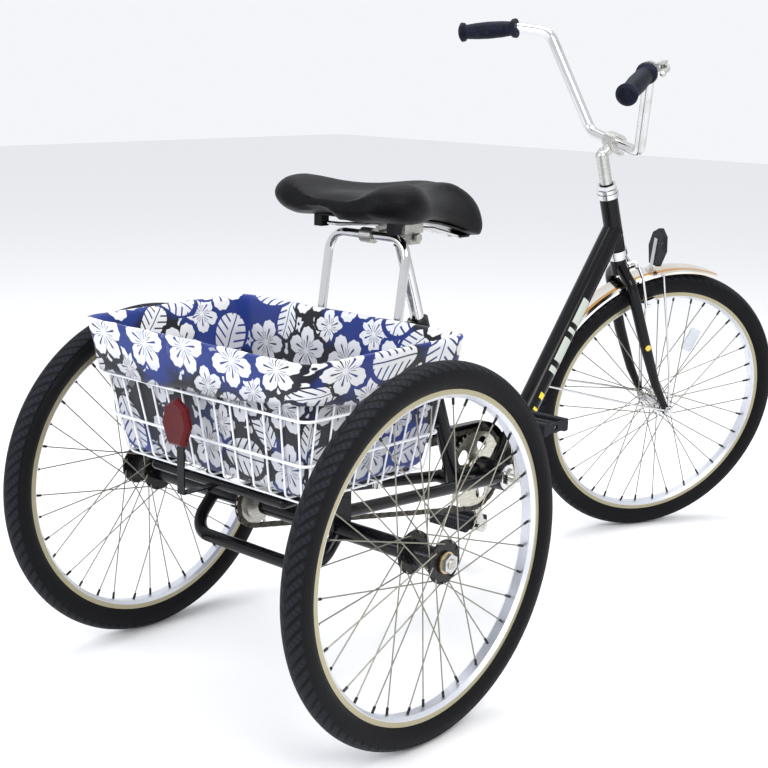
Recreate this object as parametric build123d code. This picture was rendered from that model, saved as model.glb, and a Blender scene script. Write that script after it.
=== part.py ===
from build123d import *
import os
from math import acos, asin, atan2, ceil, cos, degrees, hypot, pi, radians, sin, sqrt, tan

# Adult tricycle: one steered front wheel, two rear wheels on a live axle, a wire basket with a
# cloth liner behind the saddle. Millimetres, X forward, Y to the rider's left, Z up.
# Pieces are drawn with X = 0 on the rear axle and the front wheel straight ahead, then the
# steering is turned to its resting angle and everything moves so that the origin lies on the
# ground under the middle of the tricycle.

# ---- overall sizes ----
wheelbase = 1148.0          # rear axle to front axle with the wheel straight ahead
track = 666.0               # between the middle planes of the rear wheels
head_angle = 70.0           # steering axis above the horizontal
fork_rake = 37.5            # front axle ahead of the steering axis
steer_rest = -27.5          # resting turn of the steering, negative to the right

# ---- wheels ----
tyre_radius = 300.0
tyre_width = 46.0
tyre_wall = 3.0
rim_flange_radius = 259.5
rim_seat_radius = 253.5
rim_inner_radius = 245.0
rim_width = 28.0
rim_wall = 1.5
rim_well_width = 17.0
rim_well_floor = 2.6
seat_gap = 0.2              # between a tyre bead and its rim
spoke_count = 36
spoke_diameter = 2.2
spoke_lacing = 60.0         # degrees between a spoke's two ends
reflector_size = (52.0, 26.0, 6.0)   # wheel reflector: along the spokes, across, thick

# ---- rear hubs, axle and drive ----
axle_diameter = 16.0
axle_height = tyre_radius
running_gap = 0.05          # radial gap of a shaft in its bore
rear_flange_spacing = 60.0
rear_flange_diameter = 69.0
hub_flange_thickness = 3.6
rear_barrel_diameter = 36.0
axle_nut_thickness = 8.0
axle_nut_width = 27.0
washer_diameter = 34.0
washer_thickness = 2.4
housing_diameter = 32.0
housing_wall = 3.0
housing_hub_gap = 4.0
bearing_width = 9.0
chain_pitch = 12.7
chainring_teeth = 40
sprocket_teeth = 20
chain_links = 124
chain_line = 48.0           # chain to the left of the middle plane
chain_roller_diameter = 7.75
chain_inner_width = 3.5
chain_plate = 1.0
chain_plate_height = 8.4
sprocket_thickness = 2.8
tooth_height = 3.6          # tooth tips above the pitch circle
freewheel_diameter = 56.0
freewheel_width = 16.0

# ---- bottom bracket, crank and pedals ----
bracket_height = 238.0
shell_diameter = 57.0
shell_bore = 51.4
shell_width = 68.0
cone_diameter = 29.0        # bearing cones on the crank spindle
crank_length = 152.0
crank_angle = 113.6         # right crank arm above the forward direction
crank_rod = 17.0
crank_root = 60.0           # where the arms leave the spindle, from the middle plane
crank_tip = 78.0            # pedal eye, from the middle plane
pedal_eye_diameter = 28.0
pedal_eye_width = 14.0
pedal_spindle = 10.0
pedal_width = 94.0          # along the spindle
pedal_length = 74.0
pedal_height = 24.0
guard_radius = 97.0
guard_window = 54.0
guard_plate = 1.5
guard_tail = 140.0          # length of its tail over the upper run
guard_side = 55.5           # guard plate from the middle plane
guard_lip = 14.0
guard_floor = 224.0         # lower edge of the guard above the ground

# ---- frame ----
head_tube_low = 387.0       # heights along the steering axis from the axle's foot on it
head_tube_high = 506.0
head_tube_diameter = 38.0
head_tube_bore = 34.0
down_tube_diameter = 44.5
down_tube_top = 432.0       # where the down tube's centre meets the steering axis
tube_wall = 1.8
stay_diameter = 22.2
stay_spread = 82.0          # stays at the axle housing, from the middle plane
stay_root = 26.0            # stays at the bottom bracket shell
seat_angle = 70.0
seat_tube_diameter = 30.0
seat_foot_x = 466.0
collar_height = 577.0
collar_diameter = 38.0
collar_length = 26.0
bumper_diameter = 22.0
bumper_spread = 149.0
bumper_back = 55.0
bumper_height = 240.0
bumper_radius = 42.0

# ---- basket and liner ----
basket_x_low = (-151.0, 143.0)       # front and back of the outside at the bottom
basket_x_high = (-192.0, 170.0)      # the same at the rim
basket_half_low = 216.0
basket_half_high = 266.0
basket_floor = 386.0
basket_rim = 604.0
corner_low = 14.0
corner_high = 32.0
rim_wire = 6.0
hoop_wire = 4.6
mesh_wire = 3.2
wall_pitch = 34.2           # upright wires of the front and back walls at the floor
side_pitch = 33.0           # upright wires of the side walls at the floor
wall_wires = 6              # each way from the middle one
side_wires = 4
wall_fan = 1.137            # how much further apart they stand at the rim
side_fan = 1.106
hoop_heights = (448.0, 520.0)
collar_drop = 54.0          # folded-over part of the liner below the rim
cloth = 1.6                 # liner thickness
cloth_gap = 0.6
bag_bevel = 7.0             # sloped lower edge of the liner

# ---- basket support ----
rail_diameter = 16.0
rail_gap = 1.5
rail_spread = 150.0
support_back_x = -128.0
support_front_x = 157.0
hanger_thickness = 5.0
hanger_width = 40.0

# ---- saddle, post and strut ----
post_diameter = 25.4
post_top = 716.0
post_insert = 120.0
strut_diameter = 16.0
strut_spread = 89.0
strut_top_x = 215.0
strut_top_z = 737.0
strut_radius = 34.0
strut_tail = 40.0
strut_guide_gap = 2.0
guide_wall = 4.0
guide_length = 18.0
saddle_back = 114.0
saddle_nose = 503.0
saddle_top = 832.0          # highest line of the shoulders
saddle_half_width = 150.0
saddle_gap = 2.0
contact_gap = 0.3           # left between the padding and what it rests on
pan_thickness = 3.0
rail_back_spread = 84.0
rail_wire = 7.0

# ---- fork, steering and bars ----
steerer_diameter = 28.6
steerer_bore = 25.7
crown_height = 345.0
crown_diameter = 34.0
blade_diameter = 24.0
blade_tip = 15.0
blade_spread = 53.0
dropout_thickness = 5.0
front_axle_diameter = 9.5
front_nut_width = 15.0
front_flange_spacing = 64.0
front_flange_diameter = 46.0
front_barrel_diameter = 30.0
cup_diameter = 45.0
quill_diameter = 25.4
quill_top = 596.0
clamp_height = 616.0
clamp_forward = 32.0
clamp_diameter = 37.0
clamp_width = 38.0
bar_diameter = 22.2
bar_wall = 1.8
grip_length = 128.0
grip_diameter = 36.0
grip_flange = 41.0

# ---- front fender, stays, reflectors and brake ----
fender_radius = 314.0
fender_width = 54.0
fender_wall = 1.4
fender_drop = 9.0
fender_front = 75.0         # degrees above the forward direction at the axle
fender_back = 173.0
stay_wire = 5.0
front_stay_angle = 101.0
reflector_angle = 103.5     # foot of the front reflector on the fender
pad_gap = 1.6
pad_size = (9.0, 10.0, 48.0)         # sideways, radial, along the rim
lever_gap = 38.0


# ---------------------------------------------------------------- small helpers
def vec(x, y, z):
    return Vector(x, y, z)


def rod(start, end, diameter):
    return Solid.make_cylinder(diameter / 2, (end - start).length, Plane(start, z_dir=end - start))


def tube(start, end, outer, inner):
    step = (end - start).normalized()
    return rod(start, end, outer) - rod(start - step, end + step, inner)


def cone(start, end, low, high):
    return Solid.make_cone(low / 2, high / 2, (end - start).length, Plane(start, z_dir=end - start))


def ball(centre, diameter):
    return Pos(*centre) * Sphere(diameter / 2)


def ring(centre, axis, outer, inner, width):
    half = axis.normalized() * (width / 2)
    return tube(centre - half, centre + half, outer, inner)


def block(low, high):
    size = [b - a for a, b in zip(low, high)]
    middle = [(a + b) / 2 for a, b in zip(low, high)]
    return Pos(*middle) * Box(*size)


def bent_rod(points, radii, diameter):
    path = FilletPolyline(*points, radius=radii)
    return sweep(Plane(path @ 0, z_dir=path % 0) * Circle(diameter / 2), path=path)


def bent_tube(points, radii, outer, inner):
    path = FilletPolyline(*points, radius=radii)
    start = Plane(path @ 0, z_dir=path % 0)
    return sweep(start * Circle(outer / 2), path=path) - sweep(start * Circle(inner / 2), path=path)


def hex_nut(centre, axis, width, bore, thickness):
    face = Plane(centre - axis.normalized() * (thickness / 2), z_dir=axis)
    body = extrude(face * RegularPolygon(width / 2, 6, major_radius=False), thickness)
    step = axis.normalized() * thickness
    return body - rod(centre - step, centre + step, bore)


def group(*shapes):
    return Compound([solid for shape in shapes for solid in shape.solids()])


def joined(first, *others):
    body = first
    for other in others:
        body = body + other
    return body


side_axis = vec(0, 1, 0)


# ---------------------------------------------------------------- steering line
steer_up = vec(-cos(radians(head_angle)), 0, sin(radians(head_angle)))
steer_ahead = vec(sin(radians(head_angle)), 0, cos(radians(head_angle)))
tyre_core = tyre_radius - tyre_width / 2


def turned_about(point, base, angle):
    return (point - base).rotate(Axis((0, 0, 0), steer_up), angle) + base


def front_wheel_lift():
    """Slide along the steering axis that stands the turned front tyre on the ground."""
    centre = vec(wheelbase, 0, axle_height)
    base = centre - steer_ahead * fork_rake
    turned = turned_about(centre, base, steer_rest)
    spin = side_axis.rotate(Axis((0, 0, 0), steer_up), steer_rest)
    lowest = turned.Z - tyre_core * sqrt(1 - spin.Z**2) - tyre_width / 2
    return steer_up * (-lowest / steer_up.Z)


front_centre = vec(wheelbase, 0, axle_height) + front_wheel_lift()
steer_foot = front_centre - steer_ahead * fork_rake
front_spin = side_axis.rotate(Axis((0, 0, 0), steer_up), steer_rest)
front_reach = turned_about(front_centre, steer_foot, steer_rest).X
front_reach = front_reach + tyre_core * sqrt(1 - front_spin.X**2) + tyre_width / 2
origin_x = (front_reach - tyre_radius) / 2


def up_steer(height, ahead=0.0, side=0.0):
    """A point by its height along the steering axis, ahead of it and to its left."""
    point = steer_foot + steer_up * height + steer_ahead * ahead
    return vec(point.X, side, point.Z)


# ---------------------------------------------------------------- chain run
ring_pitch = chain_pitch / 2 / sin(pi / chainring_teeth)
cog_pitch = chain_pitch / 2 / sin(pi / sprocket_teeth)


def chain_length(distance):
    wrap = asin((ring_pitch - cog_pitch) / distance)
    straight = 2 * distance * cos(wrap)
    return straight + ring_pitch * (pi + 2 * wrap) + cog_pitch * (pi - 2 * wrap)


def chain_centres():
    """Distance between the two chain wheels that uses every link of the chain."""
    wanted = chain_links * chain_pitch
    low, high = ring_pitch + cog_pitch, wanted / 2
    while high - low > 1e-6:
        middle = (low + high) / 2
        if chain_length(middle) < wanted:
            low = middle
        else:
            high = middle
    return (low + high) / 2


bracket_x = sqrt(chain_centres() ** 2 - (axle_height - bracket_height) ** 2)
bracket_centre = vec(bracket_x, 0, bracket_height)
axle_centre = vec(0, 0, axle_height)
to_bracket = (bracket_centre - axle_centre).normalized()
chain_tilt = degrees(atan2(to_bracket.Z, to_bracket.X))
wrap_angle = degrees(asin((ring_pitch - cog_pitch) / (bracket_centre - axle_centre).length))


def chain_joints():
    """Pin centres once round the chain: upper run, chainring, lower run, cog."""
    top = radians(chain_tilt + 90 + wrap_angle)
    low = radians(chain_tilt - 90 - wrap_angle)
    above, below = vec(cos(top), 0, sin(top)), vec(cos(low), 0, sin(low))
    straight = (bracket_centre - axle_centre).length * cos(radians(wrap_angle))
    ring_arc = ring_pitch * radians(180 + 2 * wrap_angle)
    total = 2 * straight + ring_arc + cog_pitch * radians(180 - 2 * wrap_angle)
    joints = []
    for index in range(chain_links):
        place = index * total / chain_links
        if place < straight:
            start = axle_centre + above * cog_pitch
            end = bracket_centre + above * ring_pitch
            joints.append(start + (end - start) * (place / straight))
        elif place < straight + ring_arc:
            angle = top - (place - straight) / ring_pitch
            joints.append(bracket_centre + vec(cos(angle), 0, sin(angle)) * ring_pitch)
        elif place < 2 * straight + ring_arc:
            start = bracket_centre + below * ring_pitch
            end = axle_centre + below * cog_pitch
            share = (place - straight - ring_arc) / straight
            joints.append(start + (end - start) * share)
        else:
            angle = low - (place - 2 * straight - ring_arc) / cog_pitch
            joints.append(axle_centre + vec(cos(angle), 0, sin(angle)) * cog_pitch)
    return joints


def near_teeth(pin):
    """Whether a roller on this pin would reach the teeth of either chain wheel."""
    room = tooth_height + chain_roller_diameter / 2 + 0.4
    on_ring = (pin - bracket_centre).length < ring_pitch + room
    return on_ring or (pin - axle_centre).length < cog_pitch + room


def link_plate(first, second, near, far):
    """One side plate of a link between two pins, from near to far across the chain."""
    along = second - first
    middle = (first + second) / 2
    face = Plane((middle.X, near, middle.Z), x_dir=along, z_dir=side_axis)
    outline = face * SlotCenterToCenter(along.length, chain_plate_height)
    return extrude(outline, far - near)


def chain():
    """Side plates all the way round; rollers where the chain runs free of the teeth."""
    joints = chain_joints()
    inner = chain_inner_width / 2
    outer = inner + chain_plate + 0.1
    solids = []
    for index, first in enumerate(joints):
        second = joints[(index + 1) % chain_links]
        start = inner if index % 2 else outer
        plates = []
        for near in (chain_line + start, chain_line - start - chain_plate):
            plates.append(link_plate(first, second, near, near + chain_plate))
        if index % 2 and not near_teeth(first) and not near_teeth(second):
            for pin in (first, second):
                low = vec(pin.X, chain_line - inner, pin.Z)
                high = vec(pin.X, chain_line + inner, pin.Z)
                plates.append(rod(low, high, chain_roller_diameter))
            plates = [joined(*plates)]
        solids.extend(plates)
    return group(*solids)


def toothed_wheel(centre, teeth, pitch_radius, windows):
    """A flat chain wheel: rollers' gullets cut from a disc, with round windows."""
    tip = pitch_radius + tooth_height
    face = Circle(tip)
    gullets = PolarLocations(pitch_radius + 0.9, teeth) * Circle(chain_roller_diameter / 2 + 0.6)
    face = face - gullets
    for count, ring_radius, radius in windows:
        face = face - PolarLocations(ring_radius, count) * Circle(radius)
    plane = Plane(
        (centre.X, chain_line - sprocket_thickness / 2, centre.Z),
        x_dir=(1, 0, 0),
        z_dir=side_axis,
    )
    return extrude(plane * face, sprocket_thickness)


# ---------------------------------------------------------------- wheels
def rim_section():
    """Drop-centre rim: x across the wheel, y from the wheel's centre."""
    half = rim_width / 2
    inside = half - rim_wall
    well = rim_well_width / 2
    shoulder = rim_inner_radius + 5
    outline = [
        (-half, rim_flange_radius), (-half, shoulder), (-well, rim_inner_radius),
        (well, rim_inner_radius), (half, shoulder), (half, rim_flange_radius),
        (inside, rim_flange_radius), (inside, rim_seat_radius), (well + 1, rim_seat_radius),
        (well - 0.5, rim_inner_radius + rim_well_floor),
        (-well + 0.5, rim_inner_radius + rim_well_floor), (-well - 1, rim_seat_radius),
        (-inside, rim_seat_radius), (-inside, rim_flange_radius),
    ]
    return make_face(Polyline(*outline, close=True))


def tyre_section():
    """Tyre casing: a round wall, open towards the rim, cut clear of the rim's flanges."""
    half = tyre_width / 2
    casing = Pos(0, tyre_core) * (Circle(half) - Circle(half - tyre_wall))
    mouth = Pos(0, tyre_core - half) * Rectangle(rim_well_width, tyre_width)
    inside = rim_width / 2 - rim_wall - seat_gap
    flange_room = rim_flange_radius + seat_gap
    below = Pos(0, rim_seat_radius + seat_gap - 20) * Rectangle(tyre_width * 2, 40)
    outer_room = Rectangle(tyre_width, 20) - Rectangle(2 * inside, 20)
    return casing - mouth - below - Pos(0, flange_room - 10) * outer_room


def spun(section, centre):
    """Turn a wheel section about the wheel's axis."""
    plane = Plane(centre, x_dir=(0, 1, 0), z_dir=(1, 0, 0))
    return revolve(plane * section, Axis(centre, side_axis))


def rim(centre):
    return spun(rim_section(), centre)


def tyre(centre):
    return spun(tyre_section(), centre)


def hub(centre, flange_spacing, flange, barrel, bore, overall):
    body = ring(centre, side_axis, barrel, bore, overall)
    for side in (-1, 1):
        at = centre + side_axis * (side * flange_spacing / 2)
        body = body + ring(at, side_axis, flange, bore, hub_flange_thickness)
        collar = at - side_axis * (side * 5)
        body = body + ring(collar, side_axis, barrel + 4, bore, 7)
    return body


def spokes(centre, flange_spacing, flange):
    """Crossed spokes, half on each flange, pulling alternately forward and back."""
    hole = flange / 2 - 3.5
    standoff = (hub_flange_thickness + spoke_diameter) / 2 + 0.1
    bars = []
    for index in range(spoke_count):
        side = 1 if index % 2 else -1
        pull = 1 if (index // 2) % 2 else -1
        rim_angle = radians(360 * index / spoke_count)
        hub_angle = rim_angle + pull * radians(spoke_lacing)
        splay = 1.8 * side if pull == side else 0
        hub_y = side * flange_spacing / 2 + pull * standoff + splay
        low = centre + vec(hole * cos(hub_angle), hub_y, hole * sin(hub_angle))
        end = rim_inner_radius - 0.6
        high = centre + vec(end * cos(rim_angle), side * 2.5, end * sin(rim_angle))
        bars.append(rod(low, high, spoke_diameter))
    return group(*bars)


def wheel_reflector(centre):
    """Clear reflector held between the spokes of the front wheel."""
    length, across, thick = reflector_size
    reach = 158.0
    box = Box(length, thick, across)
    box = fillet(box.edges().filter_by(Axis.Y), 6)
    turn = radians(68)
    at = centre + vec(reach * cos(turn), -6, reach * sin(turn))
    return Pos(*at) * (Rot(0, 22 - 90, 0) * box)


def rear_wheel(side):
    centre = axle_centre + side_axis * (side * track / 2)
    return {
        "tyre": tyre(centre),
        "rim": rim(centre),
        "spokes": spokes(centre, rear_flange_spacing, rear_flange_diameter),
        "hub": hub(
            centre, rear_flange_spacing, rear_flange_diameter, rear_barrel_diameter,
            axle_diameter + 2 * running_gap, rear_flange_spacing + 8,
        ),
    }


# ---------------------------------------------------------------- rear axle
hub_outer_face = track / 2 + rear_flange_spacing / 2 + 4
hub_inner_face = track / 2 - rear_flange_spacing / 2 - 4
washer_middle = hub_outer_face + 0.3 + washer_thickness / 2
nut_middle = washer_middle + washer_thickness / 2 + axle_nut_thickness / 2
axle_half = nut_middle + axle_nut_thickness / 2 + 2.6


def rear_axle():
    shaft = rod(axle_centre - side_axis * axle_half, axle_centre + side_axis * axle_half,
                axle_diameter)
    return chamfer(shaft.edges().filter_by(GeomType.CIRCLE), 1.0)


def axle_nuts():
    pieces = []
    bore = axle_diameter + 2 * running_gap
    for side in (-1, 1):
        nut_at = axle_centre + side_axis * (side * nut_middle)
        washer_at = axle_centre + side_axis * (side * washer_middle)
        pieces.append(hex_nut(nut_at, side_axis, axle_nut_width, bore, axle_nut_thickness))
        pieces.append(ring(washer_at, side_axis, washer_diameter, bore, washer_thickness - 0.1))
    return group(*pieces)


housing_end = hub_inner_face - housing_hub_gap
housing_gap = (chain_line - 22, chain_line + 22)


def axle_housing():
    """Two tubes round the axle with a gap between them for the chain and its cog."""
    inner = housing_diameter - 2 * housing_wall
    right = tube(axle_centre - side_axis * housing_end, axle_centre + side_axis * housing_gap[0],
                 housing_diameter, inner)
    left = tube(axle_centre + side_axis * housing_gap[1], axle_centre + side_axis * housing_end,
                housing_diameter, inner)
    return right, left


def axle_bearings():
    """Four plain bearings pressed into the ends of the housing tubes."""
    inner = housing_diameter - 2 * housing_wall
    spots = (-housing_end, housing_gap[0] - bearing_width, housing_gap[1],
             housing_end - bearing_width)
    rings = []
    for spot in spots:
        at = axle_centre + side_axis * (spot + bearing_width / 2)
        rings.append(ring(at, side_axis, inner, axle_diameter + 2 * running_gap, bearing_width))
    return group(*rings)


def rear_sprocket():
    bore = axle_diameter + 2 * running_gap
    at = axle_centre + side_axis * chain_line
    cog = toothed_wheel(axle_centre, sprocket_teeth, cog_pitch, [])
    body = joined(cog, ring(at, side_axis, freewheel_diameter, bore, freewheel_width))
    return body - rod(at - side_axis * 20, at + side_axis * 20, bore)


# ---------------------------------------------------------------- crank set
arm_way = vec(cos(radians(crank_angle)), 0, sin(radians(crank_angle)))


def crank_point(side, reach, out):
    """A point on a crank arm; side -1 is the right arm."""
    return bracket_centre + arm_way * (-side * reach) + side_axis * (side * out)


def crank():
    """One-piece crank: two arms and the spindle bent from one bar, with two pedal eyes."""
    points = [crank_point(-1, crank_length, crank_tip), crank_point(-1, 0, crank_root),
              crank_point(1, 0, crank_root), crank_point(1, crank_length, crank_tip)]
    bar = bent_rod(points, [10, 10], crank_rod)
    for side in (-1, 1):
        eye = crank_point(side, crank_length, crank_tip)
        bar = bar + ring(eye, side_axis, pedal_eye_diameter, 1, pedal_eye_width)
        low = crank_point(side, crank_length, crank_tip - pedal_eye_width)
        high = crank_point(side, crank_length, crank_tip + pedal_eye_width)
        bar = bar - rod(low, high, pedal_spindle + 0.1)
    return bar


def pedal_spindles():
    pins = []
    for side in (-1, 1):
        inner_end = crank_tip - pedal_eye_width / 2 + 1
        low = crank_point(side, crank_length, inner_end)
        high = crank_point(side, crank_length, pedal_start + pedal_width - 3)
        flange = crank_point(side, crank_length, crank_tip + pedal_eye_width / 2 + 2.1)
        pins.append(joined(rod(low, high, pedal_spindle),
                           ring(flange, side_axis, pedal_spindle + 7, 1, 4)))
    return group(*pins)


pedal_start = crank_tip + pedal_eye_width / 2 + 5


def pedal(side):
    """Block pedal: a barrel between two end plates with two ribbed treads."""
    centre = crank_point(side, crank_length, pedal_start + pedal_width / 2)
    half = pedal_width / 2
    body = ring(centre, side_axis, 20, 1, pedal_width)
    for end in (-1, 1):
        plate = Box(pedal_length - 6, 5, pedal_height - 6)
        plate = fillet(plate.edges().filter_by(Axis.Y), 6)
        body = body + Pos(*(centre + side_axis * (end * (half - 2.5)))) * plate
    for end in (-1, 1):
        tread = Box(15, pedal_width, pedal_height)
        tread = fillet(tread.edges().filter_by(Axis.Y), 4)
        at = centre + vec(end * (pedal_length / 2 - 7.5), 0, 0)
        body = body + Pos(*at) * tread
    bore = pedal_spindle + 2 * running_gap
    low = centre - side_axis * (half + 1)
    return body - rod(low, centre + side_axis * (half + 1), bore)


def chainring():
    """Toothed ring with round windows, turned by the crank's left shoulder."""
    face = toothed_wheel(bracket_centre, chainring_teeth, ring_pitch, [(5, 52, 15), (5, 34, 5)])
    at = bracket_centre + side_axis * chain_line
    face = face + ring(at - side_axis * 0.2, side_axis, 44, 1, 6)
    return face - rod(at - side_axis * 20, at + side_axis * 20, crank_rod + 0.2)


def bracket_cones():
    """Bearing cones and the lock nut that ride on the crank spindle."""
    pieces = []
    for side in (-1, 1):
        at = bracket_centre + side_axis * (side * (shell_width / 2 + 2))
        pieces.append(ring(at, side_axis, cone_diameter, crank_rod + 0.2, 7))
    nut_at = bracket_centre - side_axis * (shell_width / 2 + 8.1)
    pieces.append(hex_nut(nut_at, side_axis, 32, crank_rod + 0.2, 5))
    return group(*pieces)


def bracket_cups():
    """Pressed bearing cups of the bottom bracket, one at each end of the shell."""
    cups = []
    for side in (-1, 1):
        face = shell_width / 2 * side
        flange = bracket_centre + side_axis * (face + side * 2.5)
        sleeve = bracket_centre + side_axis * (face - side * 4.95)
        bore = cone_diameter + 2 * running_gap
        lip = ring(flange, side_axis, shell_diameter - 3, bore, 5)
        insert = ring(sleeve, side_axis, shell_bore, bore, 10)
        cups.append(joined(lip, insert))
    return group(*cups)


# ---------------------------------------------------------------- frame tubes
def head_tube():
    return tube(up_steer(head_tube_low), up_steer(head_tube_high), head_tube_diameter,
                head_tube_bore)


def head_tube_room():
    return rod(up_steer(head_tube_low - 60), up_steer(head_tube_high + 60), head_tube_diameter)


def shell_room():
    half = side_axis * (shell_width / 2)
    return rod(bracket_centre - half, bracket_centre + half, shell_diameter)


def bracket_room():
    half = side_axis * (shell_width / 2 + 12)
    return rod(bracket_centre - half, bracket_centre + half, shell_diameter)


def bracket_shell():
    return ring(bracket_centre, side_axis, shell_diameter, shell_bore, shell_width)


def down_tube():
    start, end = up_steer(down_tube_top), bracket_centre
    body = tube(start, end, down_tube_diameter, down_tube_diameter - 2 * tube_wall)
    return max((body - head_tube_room() - shell_room()).solids(), key=lambda s: s.volume)


def stay_line(side):
    start = vec(0, side * stay_spread, axle_height)
    return start, vec(bracket_x, side * stay_root, bracket_height)


def stays():
    """Left and right stays from the axle housing to the bottom bracket shell."""
    bars = []
    for side in (-1, 1):
        start, end = stay_line(side)
        bar = tube(start, end, stay_diameter, stay_diameter - 2 * tube_wall) - bracket_room()
        bar = bar - rod(axle_centre - side_axis * track, axle_centre + side_axis * track,
                        housing_diameter)
        bars.append(max(bar.solids(), key=lambda s: s.volume))
    return bars


seat_up = vec(-cos(radians(seat_angle)), 0, sin(radians(seat_angle)))
stay_share = seat_foot_x / bracket_x
seat_foot = vec(seat_foot_x, 0, axle_height + (bracket_height - axle_height) * stay_share)
bridge_half = stay_spread + (stay_root - stay_spread) * stay_share


def on_seat_line(height):
    return seat_foot + seat_up * ((height - seat_foot.Z) / seat_up.Z)


def seat_tube():
    """Seat tube standing on a cross tube between the stays."""
    foot_axis = seat_foot
    upright = tube(foot_axis, on_seat_line(collar_height), seat_tube_diameter,
                   post_diameter + 2 * running_gap)
    reach = side_axis * bridge_half
    cross = rod(seat_foot - reach, seat_foot + reach, stay_diameter + 4)
    upright = upright - cross
    upright = max(upright.solids(), key=lambda s: s.volume)
    body = cross + upright
    for side in (-1, 1):
        start, end = stay_line(side)
        body = body - rod(start, end, stay_diameter)
    return max(body.solids(), key=lambda s: s.volume)


def seat_collar():
    """Split clamp round the top of the seat tube, with its bolt lug."""
    top, low = on_seat_line(collar_height), on_seat_line(collar_height) - seat_up * collar_length
    body = rod(low, top, collar_diameter)
    lug_at = low + seat_up * (collar_length / 2) - vec(collar_diameter / 2 + 4, 0, 0)
    body = body + Pos(*lug_at) * Box(16, 16, 18)
    body = body - rod(lug_at - side_axis * 20, lug_at + side_axis * 20, 6)
    body = body - rod(low - seat_up * 9, top + seat_up * 9, seat_tube_diameter)
    bolt = rod(lug_at - side_axis * 11, lug_at + side_axis * 11, 5.8)
    head = rod(lug_at - side_axis * 16, lug_at - side_axis * 11, 10)
    return group(body, bolt + head)


def bumper_loop():
    """Bent tube behind and below the axle, ending on the housing tubes."""
    corner = vec(-bumper_back, 0, bumper_height)
    side = side_axis * bumper_spread
    start = axle_centre
    points = [start + side, corner + side, corner - side, start - side]
    loop = bent_tube(points, [bumper_radius, bumper_radius], bumper_diameter,
                     bumper_diameter - 2 * tube_wall)
    loop = loop - rod(axle_centre - side_axis * track, axle_centre + side_axis * track,
                      housing_diameter)
    return max(loop.solids(), key=lambda s: s.volume)


rail_height = basket_floor - mesh_wire * 2 - rail_gap - rail_diameter / 2


def support_rails():
    """Rails and cross tubes under the basket and one tube forward to the seat tube."""
    corners = [vec(support_back_x, 0, rail_height), vec(support_front_x, 0, rail_height)]
    side = side_axis * rail_spread
    body = rod(corners[0] - side, corners[0] + side, rail_diameter)
    body = body + rod(corners[1] - side, corners[1] + side, rail_diameter)
    for way in (-1, 1):
        body = body + rod(corners[0] + side * way, corners[1] + side * way, rail_diameter)
        for corner in corners:
            body = body + ball(corner + side * way, rail_diameter)
    for way in (-1, 1):
        body = body + strut_guide(way)
    tie = rod(corners[1], vec(on_seat_line(rail_height).X, 0, rail_height), rail_diameter)
    body = body + tie
    seat = rod(seat_foot, on_seat_line(collar_height), seat_tube_diameter)
    body = body - seat
    for way in (-1, 1):
        body = body - strut_hole(way)
    return max(body.solids(), key=lambda s: s.volume)


def hangers():
    """Upright plates that carry the rails on the axle housing."""
    plates = []
    for way in (-1, 1):
        at = rail_spread * way
        low = (-hanger_width / 2, at - hanger_thickness / 2, axle_height)
        high = (hanger_width / 2, at + hanger_thickness / 2, rail_height)
        plate = block(low, high)
        plate = plate - rod(axle_centre - side_axis * track, axle_centre + side_axis * track,
                            housing_diameter)
        side = side_axis * at
        rail = rod(vec(-90, at, rail_height), vec(90, at, rail_height), rail_diameter)
        plates.append(max((plate - rail).solids(), key=lambda s: s.volume))
    return group(*plates)


# ---------------------------------------------------------------- seat strut and saddle
strut_top = vec(strut_top_x, 0, strut_top_z)
guide_centre = vec(support_front_x, 0, rail_height)
strut_down = (guide_centre - strut_top).normalized()


def strut_guide(side):
    """Sleeve on the front cross tube that a strut leg slides through."""
    at = guide_centre + side_axis * (side * strut_spread)
    outer = strut_diameter + 2 * (strut_guide_gap + guide_wall)
    half = strut_down * (guide_length / 2)
    return rod(at - half, at + half, outer)


def strut_hole(side):
    at = guide_centre + side_axis * (side * strut_spread)
    half = strut_down * (guide_length + 10)
    return rod(at - half, at + half, strut_diameter + 2 * strut_guide_gap)


def seat_strut():
    """Inverted U under the saddle whose legs run down through the guides."""
    side = side_axis * strut_spread
    foot = guide_centre + strut_down * (guide_length / 2 + strut_tail)
    points = [foot + side, strut_top + side, strut_top - side, foot - side]
    return bent_tube(points, [strut_radius, strut_radius], strut_diameter, strut_diameter - 3)


post_head = on_seat_line(post_top)


def seat_post():
    low = on_seat_line(collar_height - post_insert)
    return tube(low, post_head, post_diameter, post_diameter - 4)


rail_level = strut_top_z + strut_diameter / 2 + rail_wire / 2 + 1.5


def saddle_rails():
    """Two wires under the saddle, wide at the back and close together at the nose."""
    wires = []
    for side in (-1, 1):
        points = [vec(178, side * rail_back_spread, rail_level + 5),
                  vec(214, side * 68, rail_level), vec(262, side * 24, rail_level),
                  vec(356, side * 22, rail_level - 10), vec(447, side * 12, rail_level - 33)]
        wires.append(bent_rod(points, [18, 60, 40], rail_wire))
    return group(*wires)


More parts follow.
